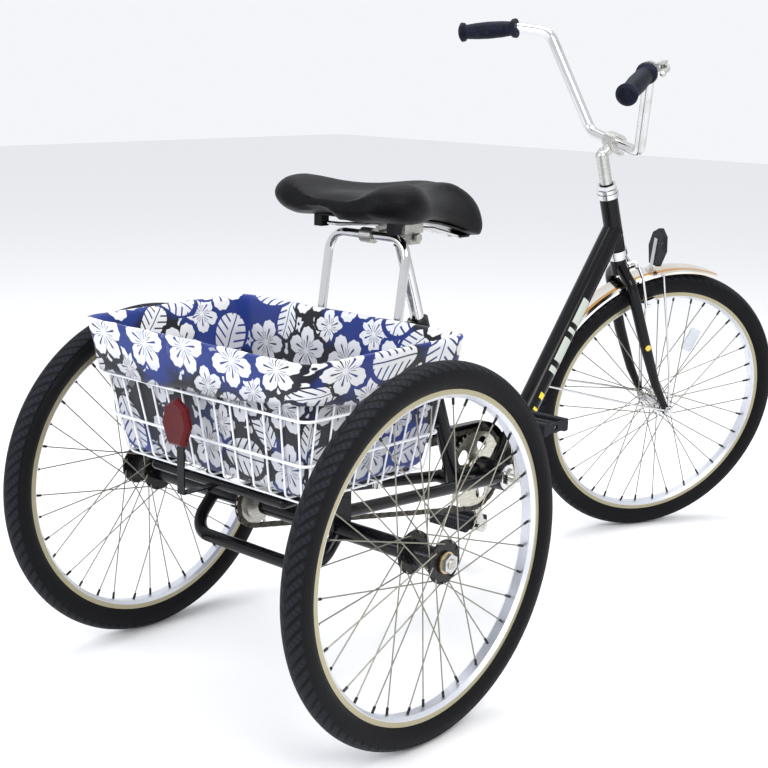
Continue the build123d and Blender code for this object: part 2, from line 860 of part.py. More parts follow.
def saddle_clamp():
    """Clamp on the post's head that holds the rails, with an arm back to the strut's bar."""
    top = post_head + seat_up * 6
    body = rod(post_head - seat_up * 34, top, post_diameter + 10)
    middle = vec(top.X - 2, 0, rail_level - 1)
    body = body + block((middle.X - 24, -34, rail_level - 13), (middle.X + 24, 34, rail_level + 3))
    arm_end = strut_top
    body = body + block((arm_end.X, -13, strut_top_z - 5), (middle.X, 13, strut_top_z + 5))
    body = body + ring(arm_end, side_axis, strut_diameter + 10, 1, 26)
    body = body - rod(arm_end - side_axis * 50, arm_end + side_axis * 50,
                      strut_diameter + 2 * running_gap)
    body = body - rod(post_head - seat_up * 60, post_head, post_diameter)
    for solid in saddle_rails().solids():
        body = body - solid
    bolt_at = vec(middle.X + 4, 0, rail_level - 20)
    bolt = rod(bolt_at - side_axis * 40, bolt_at + side_axis * 40, 8)
    for side in (-1, 1):
        bolt = bolt + hex_nut(bolt_at + side_axis * (side * 40), side_axis, 14, 1, 6)
        lug = block((bolt_at.X - 13, side * 27 - 7, bolt_at.Z - 12),
                    (bolt_at.X + 13, side * 27 + 7, bolt_at.Z + 13))
        body = body + (lug - rod(post_head - seat_up * 60, post_head, post_diameter + 9))
    body = body - rod(bolt_at - side_axis * 60, bolt_at + side_axis * 60, 8.2)
    shaft = rod(post_head - seat_up * 60, top, post_diameter + 10)
    bolt = bolt - shaft
    for solid in saddle_rails().solids():
        body = body - solid
    return group(max(body.solids(), key=lambda s: s.volume), bolt)


def saddle_section(place, half, middle, shoulder, base):
    """One upright slice of the saddle: a dished or crowned top over a flat base."""
    right = [(0, base), (half * 0.62, base + 1), (half * 0.93, base + 10),
             (half, (base + shoulder) / 2 + 4), (half * 0.86, shoulder), (half * 0.42, middle + 3),
             (0, middle)]
    left = [(-y, z) for y, z in right[-2:0:-1]]
    plane = Plane((place, 0, 0), x_dir=(0, 1, 0), z_dir=(1, 0, 0))
    return plane * make_face(Spline(*(right + left), periodic=True))


def saddle_slices():
    """Place, half width, middle height, shoulder height and base, from back to nose."""
    top = saddle_top
    wide = saddle_half_width
    back, reach = saddle_back, saddle_nose - saddle_back
    return [
        (back, wide * 0.62, top - 30, top - 22, top - 44),
        (back + reach * 0.05, wide * 0.93, top - 27, top - 6, top - 52),
        (back + reach * 0.16, wide, top - 24, top - 2, top - 60),
        (back + reach * 0.32, wide * 0.84, top - 28, top - 16, top - 66),
        (back + reach * 0.48, wide * 0.60, top - 24, top - 26, top - 70),
        (back + reach * 0.64, wide * 0.40, top - 20, top - 32, top - 80),
        (back + reach * 0.80, wide * 0.28, top - 30, top - 44, top - 95),
        (back + reach * 0.90, wide * 0.23, top - 48, top - 62, top - 108),
        (back + reach * 0.97, wide * 0.16, top - 74, top - 84, top - 118),
        (back + reach, wide * 0.07, top - 98, top - 102, top - 122),
    ]


def saddle():
    return loft([saddle_section(*row) for row in saddle_slices()])


def saddle_pan():
    """Stiff plate under the padding, with three lugs that grip the rails."""
    rows = saddle_slices()[2:8]
    face_gap = saddle_gap
    upper = [(row[0], row[4] - face_gap) for row in rows]
    lower = [(x, z - pan_thickness) for x, z in upper[::-1]]
    view = Plane((0, -300, 0), x_dir=(1, 0, 0), z_dir=(0, -1, 0))
    profile = extrude(view * make_face(Polyline(*(upper + lower), close=True)), -600)
    right = [(row[0], row[1] * 0.6) for row in rows]
    left = [(x, -y) for x, y in right[::-1]]
    plan = extrude(Pos(0, 0, 650) * make_face(Polyline(*(right + left), close=True)), 250)
    body = max((plan & profile).solids(), key=lambda s: s.volume)
    first, last = rows[0], rows[-1]
    for side in (-1, 1):
        lug_y = side * rail_back_spread
        body = body + block((first[0], lug_y - 9, rail_level - 2),
                            (first[0] + 18, lug_y + 9, first[4] - face_gap - 1.6))
    body = body + block((last[0] - 26, -20, rail_level - 33),
                        (last[0] - 2, 20, last[4] - face_gap - 1.2))
    for solid in saddle_rails().solids():
        body = body - solid
    body = body - Pos(0, 0, -contact_gap) * saddle()
    return max(body.solids(), key=lambda s: s.volume)


# ---------------------------------------------------------------- basket
def basket_share(height):
    return (height - basket_floor) / (basket_rim - basket_floor)


def basket_box(height, inset):
    """Outside limits of the basket at a height, moved inwards by inset."""
    share = basket_share(height)
    back = basket_x_low[0] + (basket_x_high[0] - basket_x_low[0]) * share + inset
    front = basket_x_low[1] + (basket_x_high[1] - basket_x_low[1]) * share - inset
    half = basket_half_low + (basket_half_high - basket_half_low) * share - inset
    corner = corner_low + (corner_high - corner_low) * share
    return back, front, half, max(corner - inset, 3)


def basket_plan(height, inset):
    back, front, half, corner = basket_box(height, inset)
    face = RectangleRounded(front - back, 2 * half, corner)
    return Pos((back + front) / 2, 0, height) * face


def tapered(low, high, inset):
    return loft([basket_plan(low, inset), basket_plan(high, inset)])


collar_room = cloth + cloth_gap          # the folded collar lies outside the wires
wire_inset = collar_room + hoop_wire / 2


def hoop(height, inset, diameter):
    outline = basket_plan(height, inset).face().outer_wire()
    section = Plane(outline @ 0, z_dir=outline % 0) * Circle(diameter / 2)
    return sweep(section, path=outline)


def bow(points, radius, diameter):
    return bent_rod(points, [radius] * (len(points) - 2), diameter)


mesh_inset = wire_inset + (hoop_wire + mesh_wire) / 2 - 0.4
mesh_bend = 12.0


def mesh_bows():
    """Wires that run down one wall, across the floor and up the opposite wall."""
    low_back, low_front, low_half, _ = basket_box(basket_floor, mesh_inset)
    top = basket_rim + rim_wire / 2 - 1.2
    back, front, half, _ = basket_box(top, mesh_inset)
    bows = []
    for index in range(-wall_wires, wall_wires + 1):
        y = index * wall_pitch
        points = [vec(back, y * wall_fan, top), vec(low_back, y, basket_floor),
                  vec(low_front, y, basket_floor), vec(front, y * wall_fan, top)]
        bows.append(bow(points, mesh_bend, mesh_wire))
    middle_low, middle_high = (low_back + low_front) / 2, (back + front) / 2
    under = basket_floor - mesh_wire + 0.4
    for index in range(-side_wires, side_wires + 1):
        x = index * side_pitch
        points = [vec(middle_high + x * side_fan, -half, top),
                  vec(middle_low + x, -low_half, under),
                  vec(middle_low + x, low_half, under),
                  vec(middle_high + x * side_fan, half, top)]
        bows.append(bow(points, mesh_bend, mesh_wire))
    return bows


def wire_basket():
    """Welded basket: rim and hoops outside, two layers of bows inside them."""
    rings = [hoop(basket_rim, wire_inset + (rim_wire - hoop_wire) / 2, rim_wire)]
    for height in hoop_heights:
        rings.append(hoop(height, wire_inset, hoop_wire))
    return group(*rings, *mesh_bows())


liner_inset = mesh_inset + mesh_wire / 2 + cloth_gap
liner_floor = basket_floor + mesh_wire / 2 + cloth_gap
liner_top = basket_rim + rim_wire / 2 + cloth_gap


def cloth_bag(low, high, inset):
    """Solid inside of the basket with its lower edges cut off like a soft bag's."""
    foot = loft([basket_plan(low, inset + bag_bevel), basket_plan(low + bag_bevel, inset)])
    return foot + tapered(low + bag_bevel, high, inset)


def basket_liner():
    """Cloth lining: five walls inside the wires and a collar folded over the rim."""
    top = liner_top + cloth
    bag = cloth_bag(liner_floor, top, liner_inset)
    bag = bag - cloth_bag(liner_floor + cloth, top + 20, liner_inset + cloth)
    lid = tapered(liner_top, top, 0) - tapered(liner_top - 5, top + 5, liner_inset + cloth / 2)
    skirt = tapered(basket_rim - collar_drop, top, 0)
    skirt = skirt - tapered(basket_rim - collar_drop - 5, top + 5, cloth)
    return joined(bag, lid, skirt)


# ---------------------------------------------------------------- reflectors
rear_reflector_height = 484.0
rear_reflector_back = -203.0


def shield(width, height, thick):
    """Six-sided reflector body, pointed at the top, narrower at the foot."""
    half, tall = width / 2, height / 2
    outline = [(0, tall), (half * 0.72, tall * 0.66), (half, -tall * 0.1), (half * 0.52, -tall),
               (-half * 0.52, -tall), (-half, -tall * 0.1), (-half * 0.72, tall * 0.66)]
    return extrude(make_face(Polyline(*outline, close=True)), thick)


def rear_reflector():
    plane = Plane((rear_reflector_back, 0, rear_reflector_height), x_dir=(0, -1, 0),
                  z_dir=(-1, 0, 0))
    return plane.location * shield(62, 74, 13)


def rear_reflector_bracket():
    """Flat strip from the rear cross rail up to the back of the reflector."""
    thick = 2.5
    front = rear_reflector_back + 0.3
    low = rail_height
    upright = block((front, -8, low - thick), (front + thick, 8, rear_reflector_height + 24))
    foot_end = support_back_x - 3
    foot = block((front, -8, low - thick), (foot_end, 8, low))
    rail = rod(vec(support_back_x, -60, rail_height), vec(support_back_x, 60, rail_height),
               rail_diameter)
    return max((joined(upright, foot) - rail).solids(), key=lambda s: s.volume)


# ---------------------------------------------------------------- fork and steering
def blade(side):
    """One fork blade: round at the crown, tapering and curving forward to the dropout."""
    path = [up_steer(crown_height + 6, 0, side * 6), up_steer(crown_height - 30, 0, side * 45),
            up_steer(178, 7, side * blade_spread)]
    upper = bent_rod(path, [30], blade_diameter)
    knee = path[-1]
    shin = up_steer(72, 18, side * blade_spread)
    ankle = up_steer(12, fork_rake - 6, side * blade_spread)
    middle = (blade_diameter + blade_tip) / 2
    body = joined(upper, ball(knee, blade_diameter), cone(knee, shin, blade_diameter, middle),
                  ball(shin, middle), cone(shin, ankle, middle, blade_tip),
                  ball(ankle, blade_tip))
    return body


def fork():
    """Unicrown fork: steerer, crown, two blades and the dropouts."""
    body = rod(up_steer(crown_height - 12), up_steer(crown_height + 22), crown_diameter)
    body = body + rod(up_steer(crown_height), up_steer(head_tube_high + 30), steerer_diameter)
    for side in (-1, 1):
        body = body + blade(side)
        at = front_centre + side_axis * (side * blade_spread)
        tip = ring(at, side_axis, 24, 1, dropout_thickness)
        ankle = up_steer(12, fork_rake - 6, side * blade_spread)
        web = rod(ankle, at, 10)
        slab = block((min(ankle.X, at.X) - 14, at.Y - dropout_thickness / 2, at.Z - 14),
                     (at.X + 14, at.Y + dropout_thickness / 2, ankle.Z + 14))
        body = body + tip + (rod(ankle, at, 15) & slab)
    body = body - rod(up_steer(crown_height + 25), up_steer(head_tube_high + 50), steerer_bore)
    wide = side_axis * (blade_spread + 20)
    body = body - rod(front_centre - wide, front_centre + wide, front_axle_diameter + 0.3)
    for side in (-1, 1):
        for near, far in ((30, blade_spread - dropout_thickness / 2),
                          (blade_spread + dropout_thickness / 2, 80)):
            body = body - rod(front_centre + side_axis * (side * near),
                              front_centre + side_axis * (side * far), 44)
    tunnel = ring(front_centre, side_axis, 2 * (fender_radius + 6), 1, 2 * (blade_spread - 20))
    return max((body - tunnel).solids(), key=lambda s: s.volume)


front_axle_half = blade_spread + dropout_thickness / 2 + 12


def front_axle():
    """Front axle with its cones inside the fork and its nuts outside."""
    shaft = rod(front_centre - side_axis * front_axle_half,
                front_centre + side_axis * front_axle_half, front_axle_diameter)
    pieces = [shaft]
    bore = front_axle_diameter + 2 * running_gap
    for side in (-1, 1):
        nut = front_centre + side_axis * (side * (blade_spread + dropout_thickness / 2 + 6.2))
        pieces.append(hex_nut(nut, side_axis, front_nut_width, bore, 7))
        lock = front_centre + side_axis * (side * (blade_spread - dropout_thickness / 2 - 3.2))
        pieces.append(ring(lock, side_axis, 17, bore, 6))
    return group(*pieces)


def front_hub():
    return hub(front_centre, front_flange_spacing, front_flange_diameter, front_barrel_diameter,
               front_axle_diameter + 2 * running_gap, front_flange_spacing + 20)


def headset_cups():
    """Upper and lower cups pressed into the head tube."""
    low = joined(rod(up_steer(head_tube_low - 12), up_steer(head_tube_low), cup_diameter),
                 rod(up_steer(head_tube_low), up_steer(head_tube_low + 8), head_tube_bore))
    high = joined(rod(up_steer(head_tube_high), up_steer(head_tube_high + 10), cup_diameter),
                  rod(up_steer(head_tube_high - 8), up_steer(head_tube_high), head_tube_bore))
    bore = rod(up_steer(head_tube_low - 40), up_steer(head_tube_high + 40), steerer_diameter + 1.2)
    return group(low - bore, high - bore)


def headset_nuts():
    """Crown race below the head tube, screwed race, washer and lock nut above it."""
    bore = steerer_diameter + 2 * running_gap
    race = tube(up_steer(crown_height + 22.1), up_steer(head_tube_low - 12.6),
                cup_diameter - 5, bore)
    top = head_tube_high + 10.6
    screwed = tube(up_steer(top), up_steer(top + 8), cup_diameter - 4, bore)
    lock_at = up_steer(top + 13.2)
    lock = hex_nut(lock_at, steer_up, 36, bore, 8.6)
    return group(race, screwed, lock)


def stem():
    """Quill stem with a forward neck, bar clamp, expander bolt and clamp bolt."""
    low = up_steer(head_tube_high - 60)
    bend = up_steer(quill_top)
    seat = up_steer(clamp_height, clamp_forward)
    body = joined(rod(low, bend, quill_diameter), ball(bend, quill_diameter + 2),
                  rod(bend, seat, quill_diameter - 2))
    body = body + ring(seat, side_axis, clamp_diameter, 1, clamp_width)
    ear = seat - steer_up * (clamp_diameter / 2 + 3) + steer_ahead * 4
    body = body + ring(ear, side_axis, 15, 1, clamp_width - 14)
    half = side_axis * clamp_width
    body = body - rod(seat - half, seat + half, bar_diameter + 0.1)
    slit_low = seat - steer_up * (clamp_diameter + 6)
    body = body - rod(ear - half, ear + half, 6.4)
    bolt = joined(rod(ear - side_axis * 13, ear + side_axis * 13, 6.2),
                  rod(ear - side_axis * 18, ear - side_axis * 12.2, 11))
    head = up_steer(quill_top + quill_diameter / 2 - 4)
    body = body - rod(head, head + steer_up * 20, 11)
    expander = rod(head + steer_up * 0.1, head + steer_up * 7, 10.4)
    return group(max(body.solids(), key=lambda s: s.volume), bolt, expander)


bar_bends = [30.0, 38.0, 30.0]


def bar_points(side):
    """Corners of one half of the bar, from its middle out to the grip's end."""
    seat = up_steer(clamp_height, clamp_forward)
    low = seat + vec(0, side * 97, 0)
    high = seat + vec(-76, side * 202, 184)
    wrist = seat + vec(-116.5, side * 261, 181.2)
    tip = seat + vec(-207, side * 349, 153)
    return [low, high, wrist, tip]


def handlebar():
    left, right = bar_points(1), bar_points(-1)
    points = right[::-1] + left
    radii = bar_bends[::-1] + bar_bends
    return bent_tube(points, radii, bar_diameter, bar_diameter - 2 * bar_wall)


def grip_line(side):
    wrist, tip = bar_points(side)[2:]
    way = (tip - wrist).normalized()
    return tip, way


def grip(side):
    """Moulded grip with a swollen middle and a flange at each end."""
    tip, way = grip_line(side)
    end = tip + way * 4
    start = end - way * grip_length
    inner = bar_diameter + 0.1
    half, rim_half = grip_diameter / 2, grip_flange / 2
    outline = [(inner / 2, 0), (rim_half - 1.5, 0), (rim_half, 2), (rim_half - 1, 9),
               (half - 3, 14), (half - 1, 34), (half, 64), (half - 1, 92),
               (half - 3, grip_length - 14), (rim_half - 1, grip_length - 10),
               (rim_half, grip_length - 4), (rim_half - 6, grip_length), (0, grip_length),
               (0, grip_length - 3.9), (inner / 2, grip_length - 3.9)]
    plane = Plane(start, z_dir=way)
    face = make_face(Polyline(*[(r, 0, z) for r, z in outline], close=True))
    return plane.location * revolve(face, Axis.Z)


# ---------------------------------------------------------------- fender, lamp bracket
def on_wheel(angle, radius, side):
    turn = radians(angle)
    return front_centre + vec(radius * cos(turn), side, radius * sin(turn))


def front_fender():
    """Rolled steel fender round the front tyre with turned-down edges."""
    half, wall = fender_width / 2, fender_wall
    low, high = fender_radius - fender_drop, fender_radius
    outer = [(-half, low), (-half, high - 4), (-half + 6, high), (half - 6, high),
             (half, high - 4), (half, low)]
    inner = [(half - wall, low), (half - wall, high - 4 - wall), (half - 6 - wall / 2, high - wall),
             (-half + 6 + wall / 2, high - wall), (-half + wall, high - 4 - wall),
             (-half + wall, low)]
    section = make_face(Polyline(*(outer + inner), close=True))
    plane = Plane(front_centre, x_dir=(0, 1, 0), z_dir=(1, 0, 0))
    start = (plane * section).rotate(Axis(front_centre, side_axis), 90 - fender_front)
    return revolve(start, Axis(front_centre, side_axis), -(fender_back - fender_front))


def fender_stays():
    """Flat-ended wires from the front axle to the fender, two on each side, and a crown tab."""
    bars = []
    for side in (-1, 1):
        foot_y = side * (blade_spread + dropout_thickness / 2 + 1.25)
        eye = front_centre + vec(0, foot_y, 0)
        washer = ring(eye, side_axis, 20, front_axle_diameter + 2 * running_gap, 2.3)
        edge_y = side * (fender_width / 2 + stay_wire / 2 + 0.4)
        body = washer
        for angle in (front_stay_angle, fender_back - 4):
            start = on_wheel(angle, 13, foot_y + side * (stay_wire - 2.3) / 2)
            bend = on_wheel(angle, 96, foot_y + side * (stay_wire - 2.3) / 2)
            high = on_wheel(angle, fender_radius - 6, edge_y)
            wire = bent_rod([start, bend, high], [60], stay_wire)
            body = body + wire
            body = body + ring(on_wheel(angle, fender_radius - 5, side * (fender_width / 2 + 1.6)),
                               side_axis, 9, 1, 2.4)
        bore = rod(front_centre - side_axis * 90, front_centre + side_axis * 90,
                   front_axle_diameter + 2 * running_gap)
        bars.append(body - bore)
    return bars


def front_reflector_bracket():
    """Steel strip standing on the fender behind the front reflector."""
    angle = reflector_angle
    foot = on_wheel(angle, fender_radius + 0.2, 0)
    strip = block((foot.X - 1.2, -6, foot.Z - 2), (foot.X + 1.2, 6, foot.Z + 70))
    pad = block((foot.X - 9, -8, foot.Z - 4), (foot.X + 9, 8, foot.Z + 3))
    disc = ring(front_centre, side_axis, 2 * fender_radius, 1, 60)
    return max((strip + pad - disc).solids(), key=lambda s: s.volume)


def front_reflector():
    foot = on_wheel(reflector_angle, fender_radius, 0)
    plane = Plane((foot.X + 1.5, 0, foot.Z + 52), x_dir=(0, 1, 0), z_dir=(1, 0, 0))
    return plane.location * shield(56, 80, 12)


# ---------------------------------------------------------------- brake
pivot_height = crown_height - 6
pivot_ahead = crown_diameter / 2 + 2


def pad_place(side):
    centre = front_centre + steer_up * (rim_flange_radius - 7)
    lateral = side * (rim_width / 2 + pad_gap + pad_size[0] / 2)
    return vec(centre.X, lateral, centre.Z)


def caliper_arm(side):
    """Side-pull arm: from the pivot bolt over the fender's edge down to its brake shoe."""
    layer = 0 if side > 0 else 1
    ahead = pivot_ahead + 4 + layer * 8
    pivot = up_steer(pivot_height, ahead)
    shoulder = up_steer(pivot_height + 2, ahead, side * 30)
    elbow = up_steer(pivot_height - 16, ahead, side * 40)
    pad = pad_place(side)
    hand = up_steer((pad - steer_foot).dot(steer_up), ahead, side * 37)
    body = ring(pivot, steer_ahead, 20, 6.4, 7)
    body = body + rod(pivot + side_axis * (side * 8), shoulder, 8) + ball(shoulder, 8)
    body = body + rod(shoulder, elbow, 8) + ball(elbow, 8) + rod(elbow, hand, 7) + ball(hand, 7)
    reach = up_steer(pivot_height + 12, ahead, -side * 34)
    if side < 0:
        reach = up_steer(pivot_height + 26, ahead, -side * 36)
    body = body + rod(pivot - side_axis * (side * 8), reach, 7) + ball(reach, 9)
    back = vec(pad.X, side * 37, pad.Z)
    body = body + rod(hand, back, 6) + ball(back, 7)
    inner = side * (rim_width / 2 + pad_gap + pad_size[0])
    body = body + rod(back, vec(pad.X, inner, pad.Z), 6)
    body = body - rod(pivot - steer_ahead * 9, pivot + steer_ahead * 9, 6.4)
    plane = Plane(pad, x_dir=side_axis, z_dir=steer_ahead)
    shoe = plane.location * Box(pad_size[0] - 0.2, pad_size[1], pad_size[2])
    return group(body, shoe)


def caliper_bolt():
    """Pivot bolt of the brake through the fork crown, with its nuts."""
    start = up_steer(pivot_height, crown_diameter / 2 + 0.3)
    end = up_steer(pivot_height, pivot_ahead + 24)
    body = rod(start, end, 6)
    body = body + rod(start, start + steer_ahead * 1.4, 13)
    nut = hex_nut(up_steer(pivot_height, pivot_ahead + 20), steer_ahead, 11, 1, 5)
    return body + nut


def lever_frame():
    """Where the brake lever sits on the right bar: clamp centre, outward and forward ways."""
    _, high, wrist, _ = bar_points(-1)
    way = (wrist - high).normalized()
    centre = wrist - way * 30
    ahead = (steer_ahead - way * steer_ahead.dot(way)).normalized()
    return centre, way, ahead


lever_pivot_ahead = 27.0
lever_pivot_in = 4.0


def lever_pivot():
    centre, way, ahead = lever_frame()
    return centre + ahead * lever_pivot_ahead - way * lever_pivot_in


def lever_pin_way():
    _, way, ahead = lever_frame()
    return way.cross(ahead)


def brake_perch():
    """Clamp band on the bar with the fork that carries the lever's pin."""
    centre, way, ahead = lever_frame()
    pin = lever_pin_way()
    body = ring(centre, way, bar_diameter + 9, bar_diameter + 0.1, 18)
    neck = Plane(centre + ahead * (lever_pivot_ahead / 2 + 6) - way * 2, x_dir=way, z_dir=pin)
    body = body + neck.location * Box(20, lever_pivot_ahead - 8, 15)
    body = body + rod(lever_pivot() - pin * 8, lever_pivot() + pin * 8, 17)
    gap = Plane(lever_pivot() + ahead * 2 + way * 3, x_dir=way, z_dir=pin)
    body = body - gap.location * Box(40, 22, 7)
    body = body - rod(centre - way * 30, centre + way * 30, bar_diameter + 0.1)
    body = max(body.solids(), key=lambda s: s.volume)
    body = body - rod(lever_pivot() - pin * 12, lever_pivot() + pin * 12, 4.6)
    pin_bolt = rod(lever_pivot() - pin * 9, lever_pivot() + pin * 9, 4.5)
    return group(body, pin_bolt)


def brake_lever():
    """Curved lever blade in front of the grip with a ball on its end."""
    centre, way, ahead = lever_frame()
    pin = lever_pin_way()
    hinge = lever_pivot()
    points = [hinge, hinge + way * 24 + ahead * 9, hinge + way * 64 + ahead * 12,
              hinge + way * 104 + ahead * 4]
    blade_bar = bent_rod(points, [20, 60], 6.4) + ball(points[-1], 11)
    eye = rod(hinge - pin * 3, hinge + pin * 3, 13)
    body = eye + blade_bar
    return body - rod(hinge - pin * 9, hinge + pin * 9, 4.5 + 2 * running_gap)


# ---------------------------------------------------------------- chain guard
def guard_outline(radius):
    """Round cover of the chainring with a tail back along the upper run of the chain."""
    slope = chain_tilt + wrap_angle
    tail = Rot(0, 0, slope) * Pos(-guard_tail / 2, radius - 17) * Rectangle(guard_tail, 34)
    return Circle(radius) + tail


def chain_guard():
    """Cover outside the chain with a turned-in lip, held by two short rods."""
    plane = Plane((bracket_x, guard_side, bracket_height), x_dir=(1, 0, 0), z_dir=(0, -1, 0))
    floor_cut = Pos(0, guard_floor - bracket_height - 200) * Rectangle(600, 400)
    plate = guard_outline(guard_radius) - Circle(guard_window) - floor_cut
    lip = guard_outline(guard_radius) - guard_outline(guard_radius - guard_plate) - floor_cut
    lip = lip - Pos(-150, -60) * Rectangle(300, 262)
    body = extrude(plane * plate, -guard_plate) + extrude(plane * lip, guard_lip)
    reach = (guard_radius + ring_pitch + tooth_height) / 2
    rail_start, rail_end = stay_line(1)
    foot_x = bracket_x - reach
    foot = rail_start + (rail_end - rail_start) * (foot_x / bracket_x)
    low = rod(foot, vec(foot.X, guard_side, foot.Z), 7)
    body = body + (low - rod(rail_start, rail_end, stay_diameter))
    start, end = up_steer(down_tube_top), bracket_centre
    slant = atan2(start.Z - end.Z, start.X - end.X) - radians(10)
    lug = bracket_centre + vec(reach * cos(slant), 0, reach * sin(slant))
    high = rod(vec(lug.X, 10, lug.Z), vec(lug.X, guard_side, lug.Z), 7)
    body = body + (high - rod(start, end, down_tube_diameter))
    return max(body.solids(), key=lambda s: s.volume)


# ---------------------------------------------------------------- hand-over
def still_pieces():
    right_housing, left_housing = axle_housing()
    left, right = rear_wheel(1), rear_wheel(-1)
    pieces = {
        "head_tube": head_tube(),
        "down_tube": down_tube(),
        "bottom_bracket_shell": bracket_shell(),
        "bottom_bracket_cups": bracket_cups(),
        "seat_tube": seat_tube(),
        "seat_collar": seat_collar(),
        "chain_stays": group(*stays()),
        "axle_housing": group(right_housing, left_housing),
        "axle_bearings": axle_bearings(),
        "bumper_loop": bumper_loop(),
        "basket_support": group(support_rails(), hangers()),
        "headset_cups": headset_cups(),
        "chain": chain(),
        "chain_guard": chain_guard(),
        "wire_basket": wire_basket(),
        "basket_liner": basket_liner(),
        "rear_reflector": rear_reflector(),
        "rear_reflector_bracket": rear_reflector_bracket(),
        "seat_post": seat_post(),
        "saddle": saddle(),
        "saddle_pan": saddle_pan(),
        "saddle_rails": saddle_rails(),
        "saddle_clamp": saddle_clamp(),
        "seat_strut": seat_strut(),
        "rear_axle": rear_axle(),
        "rear_sprocket": rear_sprocket(),
        "axle_nuts": axle_nuts(),
        "crank": group(crank(), bracket_cones(), pedal_spindles()),
        "chainring": chainring(),
        "right_pedal": pedal(-1),
        "left_pedal": pedal(1),
    }
    for side, wheel in (("left", left), ("right", right)):
        for name, shape in wheel.items():
            pieces[f"{side}_{name}"] = shape
    return pieces


def steered_pieces():
    right_stays, left_stays = fender_stays()
    return {
        "fork": fork(),
        "front_axle": front_axle(),
        "headset_nuts": headset_nuts(),
        "stem": stem(),
        "handlebar": handlebar(),
        "right_grip": grip(-1),
        "left_grip": grip(1),
        "front_fender": front_fender(),
        "fender_stays": group(right_stays, left_stays),
        "front_reflector": front_reflector(),
        "front_reflector_bracket": front_reflector_bracket(),
        "brake_bolt": caliper_bolt(),
        "brake_arm_left": caliper_arm(1),
        "brake_arm_right": caliper_arm(-1),
        "brake_perch": brake_perch(),
        "brake_lever": brake_lever(),
        "front_tyre": tyre(front_centre),
        "front_rim": rim(front_centre),
        "front_spokes": spokes(front_centre, front_flange_spacing, front_flange_diameter),
        "front_hub": front_hub(),
        "front_wheel_reflector": wheel_reflector(front_centre),
    }


def main():
    os.makedirs("parts", exist_ok=True)
    to_origin = Pos(-origin_x, 0, 0)
    steering_axis = Axis(steer_foot, steer_up)
    pieces = still_pieces()
    for name, shape in steered_pieces().items():
        pieces[name] = shape.rotate(steering_axis, steer_rest)
    for name, shape in pieces.items():
        export_step(to_origin * shape, f"parts/{name}.step")
    print(len(pieces), "nodes, origin", round(origin_x, 3), "ahead of the rear axle")


main()
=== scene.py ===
import bpy
import bmesh
import math
from mathutils import Matrix, Vector, noise


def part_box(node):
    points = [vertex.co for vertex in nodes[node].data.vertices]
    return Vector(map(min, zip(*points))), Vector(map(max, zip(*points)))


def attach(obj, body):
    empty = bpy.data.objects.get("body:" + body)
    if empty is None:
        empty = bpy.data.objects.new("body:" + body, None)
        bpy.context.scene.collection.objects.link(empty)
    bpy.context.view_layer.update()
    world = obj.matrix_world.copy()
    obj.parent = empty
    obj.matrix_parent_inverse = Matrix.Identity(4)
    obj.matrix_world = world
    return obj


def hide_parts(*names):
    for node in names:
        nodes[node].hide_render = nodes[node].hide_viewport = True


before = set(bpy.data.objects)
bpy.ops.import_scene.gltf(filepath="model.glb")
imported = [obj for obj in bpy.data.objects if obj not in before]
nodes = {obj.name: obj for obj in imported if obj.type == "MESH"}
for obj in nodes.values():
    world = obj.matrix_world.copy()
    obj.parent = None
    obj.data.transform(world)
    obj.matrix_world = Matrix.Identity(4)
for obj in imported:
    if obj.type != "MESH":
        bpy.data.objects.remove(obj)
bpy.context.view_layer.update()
print("frame in:", len(nodes), "nodes")


# a socket that adds its own Math nodes
class Wire:
    def __init__(self, tree, socket):
        self.tree, self.socket = tree, socket

    def combine(self, operation, *values):
        node = self.tree.nodes.new("ShaderNodeMath")
        node.operation = operation
        for place, value in enumerate(values):
            if isinstance(value, Wire):
                self.tree.links.new(value.socket, node.inputs[place])
            else:
                node.inputs[place].default_value = value
        return Wire(self.tree, node.outputs[0])

    def __add__(self, other): return self.combine("ADD", self, other)
    def __radd__(self, other): return self.combine("ADD", other, self)
    def __sub__(self, other): return self.combine("SUBTRACT", self, other)
    def __rsub__(self, other): return self.combine("SUBTRACT", other, self)
    def __mul__(self, other): return self.combine("MULTIPLY", self, other)
    def __rmul__(self, other): return self.combine("MULTIPLY", other, self)
    def __truediv__(self, other): return self.combine("DIVIDE", self, other)
    def __rtruediv__(self, other): return self.combine("DIVIDE", other, self)
    def __pow__(self, other): return self.combine("POWER", self, other)
    def __gt__(self, other): return self.combine("GREATER_THAN", self, other)
    def __lt__(self, other): return self.combine("LESS_THAN", self, other)
    def __neg__(self): return self.combine("MULTIPLY", self, -1.0)
    def __abs__(self): return self.combine("ABSOLUTE", self)

    def most(self, other): return self.combine("MAXIMUM", self, other)
    def least(self, other): return self.combine("MINIMUM", self, other)
    def floor(self): return self.combine("FLOOR", self)
    def part(self): return self.combine("FRACT", self)
    def sine(self): return self.combine("SINE", self)
    def cosine(self): return self.combine("COSINE", self)
    def ramp(self, low, high):  # 0 below low, 1 above high
        node = self.tree.nodes.new("ShaderNodeMapRange")
        node.interpolation_type = "SMOOTHSTEP"
        self.tree.links.new(self.socket, node.inputs[0])
        node.inputs[1].default_value, node.inputs[2].default_value = low, high
        return Wire(self.tree, node.outputs[0])


